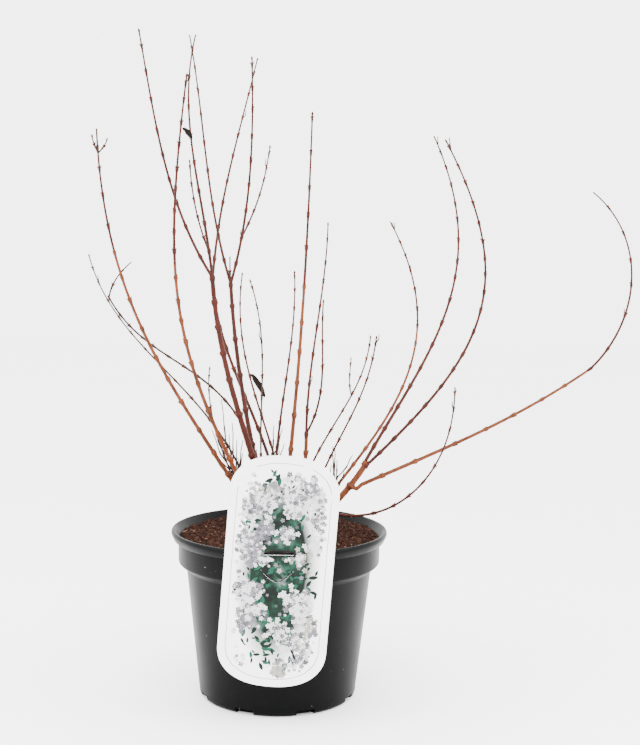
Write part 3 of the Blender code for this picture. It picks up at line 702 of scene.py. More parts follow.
def make_compost(settings):
    """The compost's crumbly top, and the crumbs, fibres and chips that lie on it."""
    rim = BAND_RADIUS - POT_WALL - 0.15
    shape = Shape()
    sections = [(0, COMPOST_BOTTOM_Z), (BODY_TOP_RADIUS - 2.0, COMPOST_BOTTOM_Z - 1.0),
                (rim, BAND_BOTTOM_Z + 3.5), (rim, COMPOST_EDGE_Z - 0.8)]
    for ring in range(COMPOST_RINGS, 0, -1):
        sections.append((rim * ring / (COMPOST_RINGS + 0.2), COMPOST_EDGE_Z + 2.0))
    lathe(shape, sections + [(0, COMPOST_EDGE_Z + 2.0)], COMPOST_SEGMENTS)
    for point in shape.points:
        if point.z > COMPOST_EDGE_Z + 1.0:
            point.z = compost_height(point.x, point.y)
    peat = tuple(settings.peat_colour)
    soil = rough_surface("peat_looks", [
        (0.30, tint(peat, 0.25)), (0.47, tint(peat, 0.8)), (0.60, tint(peat, 1.5)),
        (0.78, tint(peat, 2.8))], 330, 0.95, 0.0012)
    shape.build("compost_top", soil, "peat", ["compost"], 60)
    rule = random.Random(21)
    crumbs = settings.crumb_count
    kinds = (("compost_crumbs", crumbs, (0.5, 1.5), (1, 0.8, 0.7), tint(peat, 1.1)),
             ("compost_fibres", crumbs // 5, (1.4, 3.6), (1, 0.10, 0.10), (0.055, 0.020, 0.010)),
             ("compost_chips", crumbs // 22, (0.8, 1.8), (1, 0.55, 0.3), (0.15, 0.085, 0.045)))
    for name, count, sizes, stretch, colour in kinds:
        bits = Shape()
        for _ in range(count):
            out = rim * 0.985 * math.sqrt(rule.random())
            heading = rule.uniform(0, 2 * math.pi)
            x, y = out * math.cos(heading), out * math.sin(heading)
            size = rule.uniform(*sizes)
            turn = Matrix.Rotation(rule.uniform(0, 6.3), 3, "Z") @ Matrix.Rotation(
                rule.uniform(-0.5, 0.5), 3, "Y")
            if out + size > rim:
                continue
            bits.lump(Vector((x, y, compost_height(x, y) + 0.25 * size * stretch[2])), size, stretch, turn)
        surface = rough_surface(name + "_looks", [
            (0.3, tint(colour, 0.4)), (0.55, colour), (0.8, tint(colour, 1.7))], 500, 0.95, 0.0005)
        bits.build(name, surface, "peat", (), 0)


def make_crown():
    """The knobbly woody crown, with rough old bark."""
    base = COMPOST_MIDDLE_Z - 0.6
    shape = Shape()
    rings = []
    for step in range(CROWN_RINGS + 1):
        part = step / CROWN_RINGS
        out = math.sin(min(1.0, part * 1.25) * math.pi / 2) if part < 0.8 else 1.0 - (part - 0.8) * 0.1
        height = base + (CROWN_HEIGHT + 1.0) * (1.0 if part < 0.35 else 1 - ((part - 0.35) / 0.65) ** 2.2)
        ring = []
        for side in range(CROWN_SEGMENTS):
            turn = 2 * math.pi * side / CROWN_SEGMENTS
            x = math.cos(turn) * out * CROWN_RADII[0] * 0.97
            y = math.sin(turn) * out * CROWN_RADII[1] * 0.97
            lumps = noise.noise(Vector((x, y, 0)) / 6.5) * 1.3 + noise.noise(Vector((x, y, 5)) / 2.4) * 0.7
            pull = 1 + 0.07 * noise.noise(Vector((2 * math.cos(turn), 2 * math.sin(turn), 1)))
            ring.append(len(shape.points))
            shape.points.append(Vector((CROWN_CENTRE[0] + x * pull, CROWN_CENTRE[1] + y * pull,
                                        height + lumps * (0.4 if part > 0.9 else 1.0))))
        rings.append(ring)
    for low, high in zip(rings, rings[1:]):
        shape.bridge(high, low)
    shape.faces.append(tuple(rings[0]))
    shape.faces.append(tuple(rings[-1][::-1]))
    old_bark = rough_surface("crown_looks", [
        (0.3, (0.006, 0.003, 0.002)), (0.5, (0.022, 0.010, 0.006)), (0.75, (0.065, 0.032, 0.018))],
        420, 0.9, 0.0015)
    shape.build("woody_crown", old_bark, "crown_wood", ["crown"], 60)


# Limbs, dealt out to one joined mesh for each bark

class Wood:
    """The meshes that limbs, buds and dry twigs are gathered in."""

    def __init__(self):
        self.canes = {BARK_ORANGE: Shape(), BARK_RED: Shape(), BARK_TWIG: Shape()}
        self.twigs = {BARK_RED: Shape(), BARK_TWIG: Shape()}
        self.tips = Shape()
        self.buds = Shape()
        self.scars = Shape()


wood = Wood()
taken = []


def note_space(line):
    """Remembers the space that a limb takes, so that later twigs keep out of it."""
    for (start, start_radius), (end, end_radius) in zip(line, line[1:]):
        count = max(1, int((end - start).length / SPACE_STEP))
        for step in range(count + 1):
            part = step / count
            radius = start_radius + (end_radius - start_radius) * part
            taken.append((start.lerp(end, part), radius))


def is_clear(line, own_space):
    """Whether a twig, beyond the space round its own root, keeps clear of everything noted."""
    root = line[0][0]
    for (low, low_radius), (high, high_radius) in zip(line, line[1:]):
        count = max(1, int((high - low).length))
        for step in range(count + 1):
            point = low.lerp(high, step / count)
            if (point - root).length < own_space:
                continue
            room = max(low_radius, high_radius) + CLEARANCE
            for other, radius in taken:
                if (other - point).length < room + radius:
                    return False
    return True


def node_form(away):
    """How much a stem swells at a distance above (+) or below (-) a node, as a share."""
    if away < -NODE_RISE * 1.3 or away > 1.7:
        return 1.0
    if away < 0:
        return 1.0 + (NODE_SWELL - 1.0) * math.cos(away / (NODE_RISE * 1.3) * math.pi / 2) ** 1.6
    return 1.0 + (NODE_SWELL - 1.0) * math.cos(away / 1.7 * math.pi / 2) ** 1.2


def bark_line(bend, low, high):
    """Close-set places and radii along a bend, with its swellings and slight unevenness."""
    nodes = [share * bend.length for share in bend.nodes(0.0, 1.0)]
    start, end = low * bend.length, high * bend.length
    count = max(2, int((end - start) / BARK_STEP))
    marks = [start + (end - start) * step / count for step in range(count + 1)]
    for place in nodes:
        marks += [mark for mark in (place - 1.2, place - 0.5, place, place + 0.7) if start < mark < end]
    line = []
    kept = None
    for mark in sorted(marks):
        if kept is not None and mark - kept < 0.3 and mark != end:
            continue
        kept = mark
        swell = max([node_form(mark - place) for place in nodes] + [1.0])
        point = bend.point(mark / bend.length)
        uneven = 1 + 0.06 * noise.noise(Vector((mark * 0.3, bend.length, 0)))
        line.append((point, bend.radius(mark / bend.length) * swell * uneven))
    return line


def bud(root, aim, length, radius):
    """A pointed bud."""
    tip = root + aim * length
    wood.buds.tube([(root, radius * 0.6), (root.lerp(tip, 0.3), radius),
                    (root.lerp(tip, 0.65), radius * 0.8), (root.lerp(tip, 0.9), radius * 0.35),
                    (tip, radius * 0.06)], 6)


def dress(bend, low, high, settings, rule, allow_twigs=False):
    """Paired buds at the nodes, each pair a quarter turn from the last, and the odd short twig."""
    for number, share in enumerate(bend.nodes(low, high)):
        along = bend.tangent(share)
        across = along.orthogonal().normalized()
        quarter = math.radians(90 * number + rule.uniform(-14, 14))
        across.rotate(Matrix.Rotation(quarter, 3, along))
        radius = bend.radius(share)
        root = bend.point(share)
        for side in (1, -1):
            twig = None
            if allow_twigs and rule.random() < SIDE_TWIG_CHANCE:
                twig = side_twig(bend, share, across * side, rule)
            if twig:
                wood.tips.tube(twig, 6)
                continue
            lean = math.radians(rule.uniform(18, 36))
            aim = along * math.cos(lean) + across * side * math.sin(lean)
            size = settings.bud_length * rule.uniform(0.7, 1.15)
            if rule.random() < 0.10:
                wood.scars.tube([(root, 0.5), (root + aim * size * 0.9, 0.42)], 6)
                continue
            bud(root + across * side * radius * 0.95, aim, size, 0.34 + radius * 0.18)


def side_twig(bend, share, across, rule):
    """A short twig that leaves a node sideways and turns up, or nothing where there's no room."""
    root = bend.point(share)
    along = bend.tangent(share)
    length = rule.uniform(*SIDE_TWIG_LENGTH)
    middle = root + (along * 1.2 + across).normalized() * length * 0.5
    end = middle + (along + Vector((0, 0, 0.6))).normalized() * length * 0.5
    line = [(root, SIDE_TWIG_RADIUS * 1.2), (middle, SIDE_TWIG_RADIUS), (end, SIDE_TWIG_RADIUS * 0.6)]
    if not is_clear(line, bend.radius(share) * NODE_SWELL + 3.2):
        return None
    note_space(line)
    return line


def tip_of(shape, line, rule):
    """The last stretch of a shoot in duller bark, ending in a pair of buds and a pointed one."""
    end = line[-1][0]
    cut_at = max(0, len(line) - int(DULL_TIP / BARK_STEP))
    if cut_at > 2:
        shape.tube(line[:cut_at + 1], 8, 0.05)
        wood.tips.tube(line[cut_at:], 8, 0.05)
    else:
        wood.tips.tube(line, 8, 0.05)
    along = (end - line[-3][0]).normalized()
    across = along.orthogonal().normalized()
    across.rotate(Matrix.Rotation(rule.uniform(0, 6.3), 3, along))
    bud(end - along * 2.6, along, 2.6, 0.62)
    for side in (1, -1):
        bud(end - along * 2.9, (along + across * side * 0.42).normalized(), 2.2, 0.45)


def make_mass(limb, bend, top, settings):
    """The leader or stem above a cane's tip, with the shoots that fork there, finely budded."""
    rule = random.Random("twigs_" + limb.name)
    shape = wood.twigs[BARK_TWIG if limb.colour == BARK_TWIG else BARK_RED]
    along = (top[-1][0] - top[-2][0]).normalized()
    begin = top[-1][0]
    radius = bend.radius(limb.twigs_from)
    if limb.twigs_from < 1.0:
        line = bark_line(bend, limb.twigs_from, 1.0)
        note_space(line)
        tip_of(shape, line, rule)
        dress(bend, limb.twigs_from, 1.0, settings, rule, True)
        if limb.forked_tip:
            share = 1 - 9.0 / bend.length
            root = bend.point(share)
            end = root + bend.tangent(share) * 6.5 + bend.tangent(share).orthogonal().normalized() * 3.2
            wood.tips.tube([(root, 0.5), (end, 0.36)], 6)
            bud(end, (end - root).normalized(), 2.0, 0.5)
    else:
        shape.tube([(begin - along * 1.5, radius), (begin + along * STEM * 0.3, radius * 1.35),
                    (begin + along * STEM * 0.8, radius * 1.3), (begin + along * STEM * 1.1, radius * 0.6)],
                   12, 0.06)
    grown = {}
    for shoot in SHOOTS.get(limb.name, []):
        if shoot.foot:
            root = grown[shoot.foot].point(shoot.at)
        elif limb.twigs_from < 1.0:
            root = bend.point(limb.twigs_from + (1 - limb.twigs_from) * shoot.at)
        else:
            root = begin + along * (JOINT_GAP + STEM * 0.5)
        branch = Bend(shoot, root)
        grown[shoot.name] = branch
        line = bark_line(branch, 0.0, 1.0)
        note_space(line)
        tip_of(shape, line, rule)
        dress(branch, 0.0, 1.0, settings, rule, True)


def grow(limb, start, seat, settings):
    """One cane or bough with its bark and buds, and the mass of twigs at its top."""
    bend = Bend(limb, start)
    rule = random.Random(limb.name)
    line = bark_line(bend, 0.0, limb.twigs_from)
    radius = line[0][1]
    foot = [(start - seat * FOOT_SINK, radius * 1.45), (start - seat * FOOT_SINK * 0.4, radius * 1.3),
            (start, radius * 1.12), (start + seat * SEAT, radius)]
    line = foot + [place for place in line if (place[0] - start).dot(seat) > SEAT * 1.4]
    masses = limb.twigs_from < 1.0 or limb.name in SHOOTS
    if limb.name == TRUNK_NODE:
        end, end_radius = line[-1]
        along = (end - line[-3][0]).normalized()
        line += [(end + along * 0.6, end_radius * KNUCKLE), (end + along * 2.2, end_radius * 1.1)]
    note_space(line)
    sides = 16 if limb.thick > STOUT else 10
    if masses or limb.name == TRUNK_NODE:
        wood.canes[limb.colour].tube(line, sides, 0.07)
    else:
        tip_of(wood.canes[limb.colour], line, rule)
    dress(bend, 0.02, limb.twigs_from, settings, rule)
    if masses:
        make_mass(limb, bend, line, settings)
    return bend


def make_thicket(thicket, dry):
    """A dead stem with dry twigs fanning from it, kept clear of every cane."""
    rule = random.Random(thicket.seed)
    foot = Vector((*thicket.foot, FOOT_Z))
    top = foot + direction((thicket.heading, thicket.lean)) * thicket.height
    note_space([(foot, 1.4), (top, 0.9)])
    dry.tube([(foot - Vector((0, 0, FOOT_SINK)), 1.9), (foot, 1.5), (foot.lerp(top, 0.5), 1.15),
              (foot.lerp(top, 0.96), 0.95), (top, 0.8)], 8, 0.12)
    made = 0
    for _ in range(40 * thicket.count):
        if made == thicket.count:
            break
        root = foot.lerp(top, rule.uniform(0.45, 0.97))
        heading = thicket.heading + rule.uniform(-1, 1) * thicket.spread
        aim = direction((heading, rule.uniform(4, 48)))
        length = rule.uniform(*thicket.length)
        middle = root + aim * length * 0.5
        end = middle + (aim + Vector((0, 0, rule.uniform(0.1, 0.9)))).normalized() * length * 0.5
        twig = [(root, 0.62), (middle, 0.5), (end, 0.32)]
        if is_clear(twig, 4.5):
            kink = Vector((math.sin(made * 2.1), math.cos(made * 1.7), 0.2)) * 0.5
            dry.tube([(root, 0.62), (root.lerp(middle, 0.5) + kink, 0.55), (middle, 0.74),
                      (middle.lerp(end, 0.15), 0.48), (middle.lerp(end, 0.6) - kink, 0.42),
                      (end, 0.34)], 6, 0.1)
            note_space(twig)
            made += 1


def make_plant(settings):
    """All the canes, the trunk and its boughs, gathered into one mesh for each bark."""
    upright = Vector((0, 0, 1))
    bends = {}
    for cane in CANES:
        bends[cane.name] = grow(cane, Vector((*cane.foot, FOOT_Z)), upright, settings)
    trunk = grow(TRUNK, Vector((*TRUNK.foot, FOOT_Z)), upright, settings)
    for bough in BOUGHS:
        along = trunk.tangent(bough.at)
        sideways = Vector((*bough.side, 0))
        seat = along
        start = trunk.point(1.0) + along * JOINT_GAP + sideways - along * sideways.dot(along)
        if bough.at < 1.0:
            seat = direction(bough.out)
            seat = (seat - along * seat.dot(along)).normalized()
            start = trunk.point(bough.at) + seat * (trunk.radius(bough.at) * NODE_SWELL + GAP)
        grow(bough, start, seat, settings)
    return bends


def rim_of(rows):
    """The points round the edge of a grid of rows, in order."""
    return (rows[0] + [row[-1] for row in rows[1:]] + rows[-1][-2::-1]
            + [row[0] for row in rows[-2:0:-1]])


def leaf_shape(leaf, bends):
    """A dead leaf, curled and crumpled, closed as a thin solid."""
    bend = bends[leaf.limb]
    outward = direction((leaf.heading, 90))
    root = bend.point(leaf.share) + outward * (bend.radius(leaf.share) * NODE_SWELL + 0.1)
    aim = direction((leaf.heading, leaf.lean))
    across = aim.cross(outward).normalized()
    hollow = across.cross(aim)
    shape = Shape()
    sides = 9
    layers = []
    for lift in (LEAF_THICKNESS / 2, -LEAF_THICKNESS / 2):
        rows = []
        for step in range(LEAF_ROWS + 1):
            part = step / LEAF_ROWS
            bulge = math.sin(math.pi * min(1.0, part * 0.92 + 0.06)) ** 0.8
            half = leaf.width / 2 * (0.10 + 0.90 * bulge)
            spine = root + aim * leaf.length * part + outward * leaf.length * 0.22 * part * part
            row = []
            for column in range(sides):
                side = 2 * column / (sides - 1) - 1
                crumple = 0.5 * noise.noise(Vector((part * 5, side * 2, leaf.length)))
                point = spine + across * half * side + hollow * (half * 0.9 * side * side + crumple + lift)
                row.append(len(shape.points))
                shape.points.append(point)
            rows.append(row)
        layers.append(rows)
    upper, lower = layers
    for step in range(LEAF_ROWS):
        for column in range(sides - 1):
            a, b = upper[step][column], upper[step][column + 1]
            c, d = upper[step + 1][column + 1], upper[step + 1][column]
            shape.faces.append((a, b, c, d))
            a, b = lower[step][column], lower[step][column + 1]
            c, d = lower[step + 1][column + 1], lower[step + 1][column]
            shape.faces.append((d, c, b, a))
    shape.bridge(rim_of(lower), rim_of(upper))
    return shape


# The label

def label_outline(width, height, end_height):
    """Points round a tall plate whose ends are superellipses."""
    straight = height / 2 - end_height
    points = []
    for end in (1, -1):
        for step in range(2 * LABEL_END_STEPS + 1):
            turn = math.pi * step / (2 * LABEL_END_STEPS)
            across = abs(math.cos(turn)) ** (2 / LABEL_END_POWER) * math.copysign(1, math.cos(turn))
            along = abs(math.sin(turn)) ** (2 / LABEL_END_POWER)
            points.append((end * across * width / 2, end * (straight + along * end_height)))
    return points


LABEL_FRONT = -(LIP_RADIUS + GAP + LABEL_THICKNESS)
LABEL_LEAN = Matrix.Translation((LABEL_CENTRE[0], 0, LABEL_CENTRE[1])) @ Matrix.Rotation(
    math.radians(LABEL_TILT), 4, "Y")


def on_label(u, v, lift):
    """A place on the label's face, from across and up it, lifted towards the viewer."""
    return LABEL_LEAN @ Vector((u, LABEL_FRONT - lift, v))


def slab(points, front, thickness, lean=None):
    """A flat outline in the XZ plane, pushed back along Y into a plate."""
    bm = bmesh.new()
    face = bm.faces.new([bm.verts.new((x, front, z)) for x, z in points])
    grown = bmesh.ops.extrude_face_region(bm, geom=[face])
    moved = [item for item in grown["geom"] if isinstance(item, bmesh.types.BMVert)]
    bmesh.ops.translate(bm, vec=(0, thickness, 0), verts=moved)
    if lean:
        bmesh.ops.transform(bm, matrix=lean, verts=bm.verts)
    return bm


def in_print(u, v):
    """How far inside the printed picture a place is: 1 in the middle, 0 at its edge."""
    half = LABEL_WIDTH / 2 - PRINT_INSET
    tall = LABEL_HEIGHT / 2 - PRINT_INSET
    return 1 - (abs(u / half) ** 3 + abs(v / tall) ** 5)


def cut_label(piece):
    """The slot and the tab that grip the pot's lip."""
    half, tall = SLOT_SIZE[0] / 2, SLOT_SIZE[1] / 2
    slot = [(SLOT_CENTRE[0] + a * half, SLOT_CENTRE[1] + b * tall)
            for a, b in ((-1, -1), (1, -1), (1, 1), (-1, 1))]
    upper, lower = [], []
    for step in range(25):
        across = 2 * step / 24 - 1
        drop = TAB_DROP * (1 - abs(across) ** 1.6)
        x = SLOT_CENTRE[0] - 1.0 + across * TAB_WIDTH / 2
        upper.append((x, TAB_TOP_Z - drop))
        lower.append((x, TAB_TOP_Z - drop - TAB_CUT))
    carve(piece, [loose_object(name, slab(outline, LABEL_FRONT - 2.0, LABEL_THICKNESS + 4.0))
                  for name, outline in (("slot", slot), ("tab_cut", upper + lower[::-1]))])


def near_cut(u, v):
    """Whether a printed mark would bridge the slot or the tab's cut."""
    place = on_label(u, v, 0)
    x, z = place.x, place.z
    in_slot = abs(x - SLOT_CENTRE[0]) < SLOT_SIZE[0] / 2 + 2.4 and abs(z - SLOT_CENTRE[1]) < 3.8
    across = (x - SLOT_CENTRE[0] + 1.0) / (TAB_WIDTH / 2)
    if abs(across) > 1.15:
        return in_slot
    cut_z = TAB_TOP_Z - TAB_DROP * (1 - min(1.0, abs(across)) ** 1.6)
    return in_slot or abs(z - cut_z + TAB_CUT / 2) < 2.6


def print_ground():
    """The picture's soft ground of greens, which fades out into the white card."""
    made, tree, shader = shader_of("print_ground_looks", 0.42, 0.12)
    leaves = noise_node(tree, 95, 8)
    ramp = ramp_node(tree, leaves.outputs["Fac"], [
        (0.42, (0.001, 0.003, 0.002)), (0.53, (0.002, 0.013, 0.007)), (0.61, (0.008, 0.038, 0.024)),
        (0.68, (0.04, 0.055, 0.050)), (0.78, (0.11, 0.12, 0.125))])
    place = tree.nodes.new("ShaderNodeTexCoord")
    fit = tree.nodes.new("ShaderNodeMapping")
    fit.vector_type = "TEXTURE"
    fit.inputs["Location"].default_value = (LABEL_CENTRE[0] * MM, LABEL_FRONT * MM, LABEL_CENTRE[1] * MM)
    fit.inputs["Rotation"].default_value = (0, math.radians(LABEL_TILT), 0)
    fit.inputs["Scale"].default_value = ((LABEL_WIDTH / 2 - 8.0) * MM, 1.0, (LABEL_HEIGHT / 2 - 8.0) * MM)
    reach = tree.nodes.new("ShaderNodeVectorMath")
    reach.operation = "LENGTH"
    fade = ramp_node(tree, reach.outputs["Value"], [(0.62, (0, 0, 0)), (0.98, (1, 1, 1))])
    mix = tree.nodes.new("ShaderNodeMix")
    mix.data_type = "RGBA"
    mix.inputs[7].default_value = (0.84, 0.85, 0.84, 1)
    tree.links.new(place.outputs["Object"], fit.inputs["Vector"])
    tree.links.new(fit.outputs["Vector"], reach.inputs[0])
    tree.links.new(fade.outputs["Color"], mix.inputs[0])
    tree.links.new(ramp.outputs["Color"], mix.inputs[6])
    tree.links.new(mix.outputs[2], shader.inputs["Base Color"])
    return made


def blossom(shape, u, v, radius, turn, lift):
    """A flower of five pointed petals, printed flat."""
    for petal in range(5):
        heading = turn + 2 * math.pi * petal / 5
        outline = []
        for along, side in ((0.05, 0), (0.55, -0.33), (0.85, -0.2), (1.0, 0.03), (0.8, 0.24), (0.5, 0.33)):
            a = along * radius
            b = side * radius
            outline.append(on_label(u + a * math.cos(heading) - b * math.sin(heading),
                                    v + a * math.sin(heading) + b * math.cos(heading), lift))
        shape.flat(outline)


def printed_leaf(shape, u, v, length, turn, lift):
    """A pointed leaf, printed flat."""
    outline = []
    for along, side in ((0, 0), (0.25, -0.16), (0.55, -0.2), (0.85, -0.1), (1, 0), (0.85, 0.1), (0.55, 0.2),
                        (0.25, 0.16)):
        a, b = (along - 0.5) * length, side * length
        outline.append(on_label(u + a * math.cos(turn) - b * math.sin(turn),
                                v + a * math.sin(turn) + b * math.cos(turn), lift))
    shape.flat(outline)


def make_label(settings):
    """The white plastic plate and its printed picture of blossom among leaves."""
    bm = slab(label_outline(LABEL_WIDTH, LABEL_HEIGHT, LABEL_END_HEIGHT), LABEL_FRONT, LABEL_THICKNESS,
              LABEL_LEAN)
    plate = loose_object("label_plate", bm)
    card, tree, shader = shader_of("label_looks", 0.33, 0.5)
    marks = noise_node(tree, 60, 6)
    ramp = ramp_node(tree, marks.outputs["Fac"], [(0.3, (0.80, 0.81, 0.80)), (0.7, (0.90, 0.90, 0.89))])
    tree.links.new(ramp.outputs["Color"], shader.inputs["Base Color"])
    add_bump(tree, shader, marks.outputs["Fac"], 0.05, 0.0004)
    plate.data.materials.append(card)
    cut_label(plate)
    declare(plate, ["label"])

    field = loose_object("label_picture", slab(
        label_outline(LABEL_WIDTH - FIELD_TRIM, LABEL_HEIGHT - FIELD_TRIM, FIELD_END_HEIGHT),
        LABEL_FRONT - PRINT_LIFT, PRINT_LIFT, LABEL_LEAN))
    field.data.materials.append(print_ground())
    cut_label(field)
    declare(field)

    keyline = Shape()
    inner = label_outline(LABEL_WIDTH - 2 * KEYLINE_INSET, LABEL_HEIGHT - 2 * KEYLINE_INSET,
                          KEYLINE_END_HEIGHT)
    outer = label_outline(LABEL_WIDTH - 2 * KEYLINE_INSET + 2 * KEYLINE_WIDTH,
                          LABEL_HEIGHT - 2 * KEYLINE_INSET + 2 * KEYLINE_WIDTH, KEYLINE_END_HEIGHT)
    count = len(inner)
    for step in range(count):
        after = (step + 1) % count
        broken = noise.noise(Vector((inner[step][0], inner[step][1], 0)) / 23.0) > 0.22
        if not broken:
            keyline.flat([on_label(*inner[step], 0.03), on_label(*inner[after], 0.03),
                          on_label(*outer[after], 0.03), on_label(*outer[step], 0.03)])
    keyline.build("label_keyline", plain_print("keyline_looks", (0.05, 0.055, 0.06)), "label_plastic", (), 0)

    rule = random.Random(8)
    kinds = {
        "leaves_dark": (0.0015, 0.009, 0.0045), "leaves_teal": (0.005, 0.050, 0.030),
        "shade": (0.055, 0.055, 0.062), "mauve": (0.125, 0.118, 0.135), "cream": (0.26, 0.25, 0.215),
        "white": (0.50, 0.50, 0.50), "blush": (0.28, 0.15, 0.18),
    }
    shapes = {name: Shape() for name in kinds}
    half, tall = LABEL_WIDTH / 2 - 6.5, LABEL_HEIGHT / 2 - 6.5
    for _ in range(settings.leaf_count):
        u, v = rule.uniform(-half, half), rule.uniform(-tall, tall)
        if in_print(u, v) < rule.uniform(0.1, 0.6) or near_cut(u, v):
            continue
        name = "leaves_teal" if rule.random() < 0.45 else "leaves_dark"
        printed_leaf(shapes[name], u, v, rule.uniform(3, 7.5), rule.uniform(0, 6.3),
                     0.04 + 0.02 * rule.random())
    heads = []
    for _ in range(HEAD_COUNT):
        u, v = rule.uniform(-half + 3, half - 3), rule.uniform(-tall + 4, tall - 4)
        if noise.noise(Vector((u, v, 4)) / 17.0) > -0.12 or abs(u) > 22:
            heads.append((u, v, rule.uniform(5, 10), rule.choice(("white", "white", "cream", "mauve"))))
    for number in range(settings.blossom_count):
        u0, v0, spread, colour = heads[rule.randrange(len(heads))]
        u, v = rule.gauss(u0, spread * 0.55), rule.gauss(v0, spread * 0.55)
        depth = in_print(u, v)
        if depth < -0.12 or rule.random() > 0.35 + depth * 1.6 or near_cut(u, v):
            continue
        pick = rule.random()
        name = colour if pick < 0.5 else ("shade" if pick < 0.68 else ("mauve" if pick < 0.82 else "white"))
        if colour == "cream" and pick > 0.965:
            name = "blush"
        lift = 0.07 + 0.10 * number / settings.blossom_count
        blossom(shapes[name], u, v, rule.uniform(1.0, 2.3), rule.uniform(0, 6.3), lift)
    for name, colour in kinds.items():
        shapes[name].build("label_" + name, plain_print("print_" + name, colour), "label_plastic", (), 0)


# The stage

def make_stage(settings):
    """A pale floor, soft lights and the camera."""
    floor_mesh = bpy.data.meshes.new("floor")
    corners = [(x * FLOOR_REACH, y * FLOOR_REACH, 0) for x, y in ((-1, -1), (1, -1), (1, 1), (-1, 1))]
    floor_mesh.from_pydata(corners, [], [(0, 1, 2, 3)])
    floor = bpy.data.objects.new("floor", floor_mesh)
    bpy.context.scene.collection.objects.link(floor)
    white, tree, shader = shader_of("floor_looks", 0.7, 0.3)
    patches = noise_node(tree, 3, 2)
    ramp = ramp_node(tree, patches.outputs["Fac"], [(0.3, (0.97, 0.97, 0.97)), (0.7, (0.99, 0.99, 0.99))])
    tree.links.new(ramp.outputs["Color"], shader.inputs["Base Color"])
    floor_mesh.materials.append(white)

    world = bpy.data.worlds.new("soft_white")
    world.use_nodes = True
    world.node_tree.nodes["Background"].inputs["Color"].default_value = (1, 1, 1, 1)
    world.node_tree.nodes["Background"].inputs["Strength"].default_value = settings.sky_strength
    bpy.context.scene.world = world
    for name, place, size, power in SOFTBOXES:
        lamp = bpy.data.lights.new(name, "AREA")
        lamp.size = size
        lamp.energy = settings.lamp_power * power
        light = bpy.data.objects.new(name, lamp)
        light.location = place
        light.rotation_euler = (Vector(LAMPS_AIM) - Vector(place)).to_track_quat("-Z", "Y").to_euler()
        bpy.context.scene.collection.objects.link(light)

    lens = bpy.data.cameras.new("camera")
    lens.sensor_width = SENSOR_WIDTH
    lens.lens = settings.lens
    camera = bpy.data.objects.new("camera", lens)
    camera.matrix_world = (Matrix.Translation(CAMERA_PLACE)
                           @ Matrix.Rotation(math.radians(90 - CAMERA_DIP), 4, "X")
                           @ Matrix.Rotation(math.radians(CAMERA_ROLL), 4, "Z"))
    bpy.context.scene.collection.objects.link(camera)
    bpy.context.scene.camera = camera


# Settings, operators and panel

class DeutziaSettings(bpy.types.PropertyGroup):
    """Sizes and colours of the shrub, its pot and the stage."""

    bark_orange: bpy.props.FloatVectorProperty(
        name="Orange bark", description="Bark of the older outer canes", subtype="COLOR",
        default=(0.088, 0.021, 0.006), min=0, max=1)
    bark_red: bpy.props.FloatVectorProperty(
        name="Red bark", description="Bark of the tall canes and young shoots", subtype="COLOR",
        default=(0.036, 0.0062, 0.003), min=0, max=1)
    bark_dark: bpy.props.FloatVectorProperty(
        name="Dull bark", description="Bark of thin canes and of tips", subtype="COLOR",
        default=(0.024, 0.0092, 0.005), min=0, max=1)
    bud_colour: bpy.props.FloatVectorProperty(
        name="Bud scales", description="Colour of the buds", subtype="COLOR",
        default=(0.050, 0.020, 0.009), min=0, max=1)
    dry_colour: bpy.props.FloatVectorProperty(
        name="Dry twigs", description="Colour of the dead twigs at the base", subtype="COLOR",
        default=(0.020, 0.009, 0.006), min=0, max=1)
    peat_colour: bpy.props.FloatVectorProperty(
        name="Compost", description="Main colour of the compost", subtype="COLOR",
        default=(0.017, 0.006, 0.0032), min=0, max=1)
    pot_colour: bpy.props.FloatVectorProperty(
        name="Pot", description="Colour of the pot's plastic", subtype="COLOR",
        default=(0.0010, 0.0011, 0.0011), min=0, max=1)
    bud_length: bpy.props.FloatProperty(
        name="Bud length", description="Usual length of a bud in millimetres", default=2.6, min=1, max=6)
    crumb_count: bpy.props.IntProperty(
        name="Crumbs", description="Loose crumbs on the compost", default=4200, min=0, max=20000)
    blossom_count: bpy.props.IntProperty(
        name="Printed blossoms", description="Flowers in the label's picture", default=2600, min=1, max=8000)
    leaf_count: bpy.props.IntProperty(
        name="Printed leaves", description="Leaves in the label's picture", default=420, min=0, max=3000)
    lens: bpy.props.FloatProperty(
        name="Lens", description="Focal length in millimetres", default=62.09, min=10, max=300)
    sky_strength: bpy.props.FloatProperty(
        name="Sky", description="Strength of the white surroundings", default=5.0, min=0, max=20)
    lamp_power: bpy.props.FloatProperty(
        name="Lamps", description="Power of the soft lamps in watts", subtype="POWER", default=16, min=0)


class DEUTZIA_OT_pot(bpy.types.Operator):
    """Make the nursery pot"""

    bl_idname = "deutzia.pot"
    bl_label = "Pot"

    def execute(self, context):
        make_pot(context.scene.deutzia)
        return {"FINISHED"}


class DEUTZIA_OT_compost(bpy.types.Operator):
    """Make the compost with its crumbs, and the woody crown"""

    bl_idname = "deutzia.compost"
    bl_label = "Compost and crown"

    def execute(self, context):
        make_compost(context.scene.deutzia)
        make_crown()
        return {"FINISHED"}


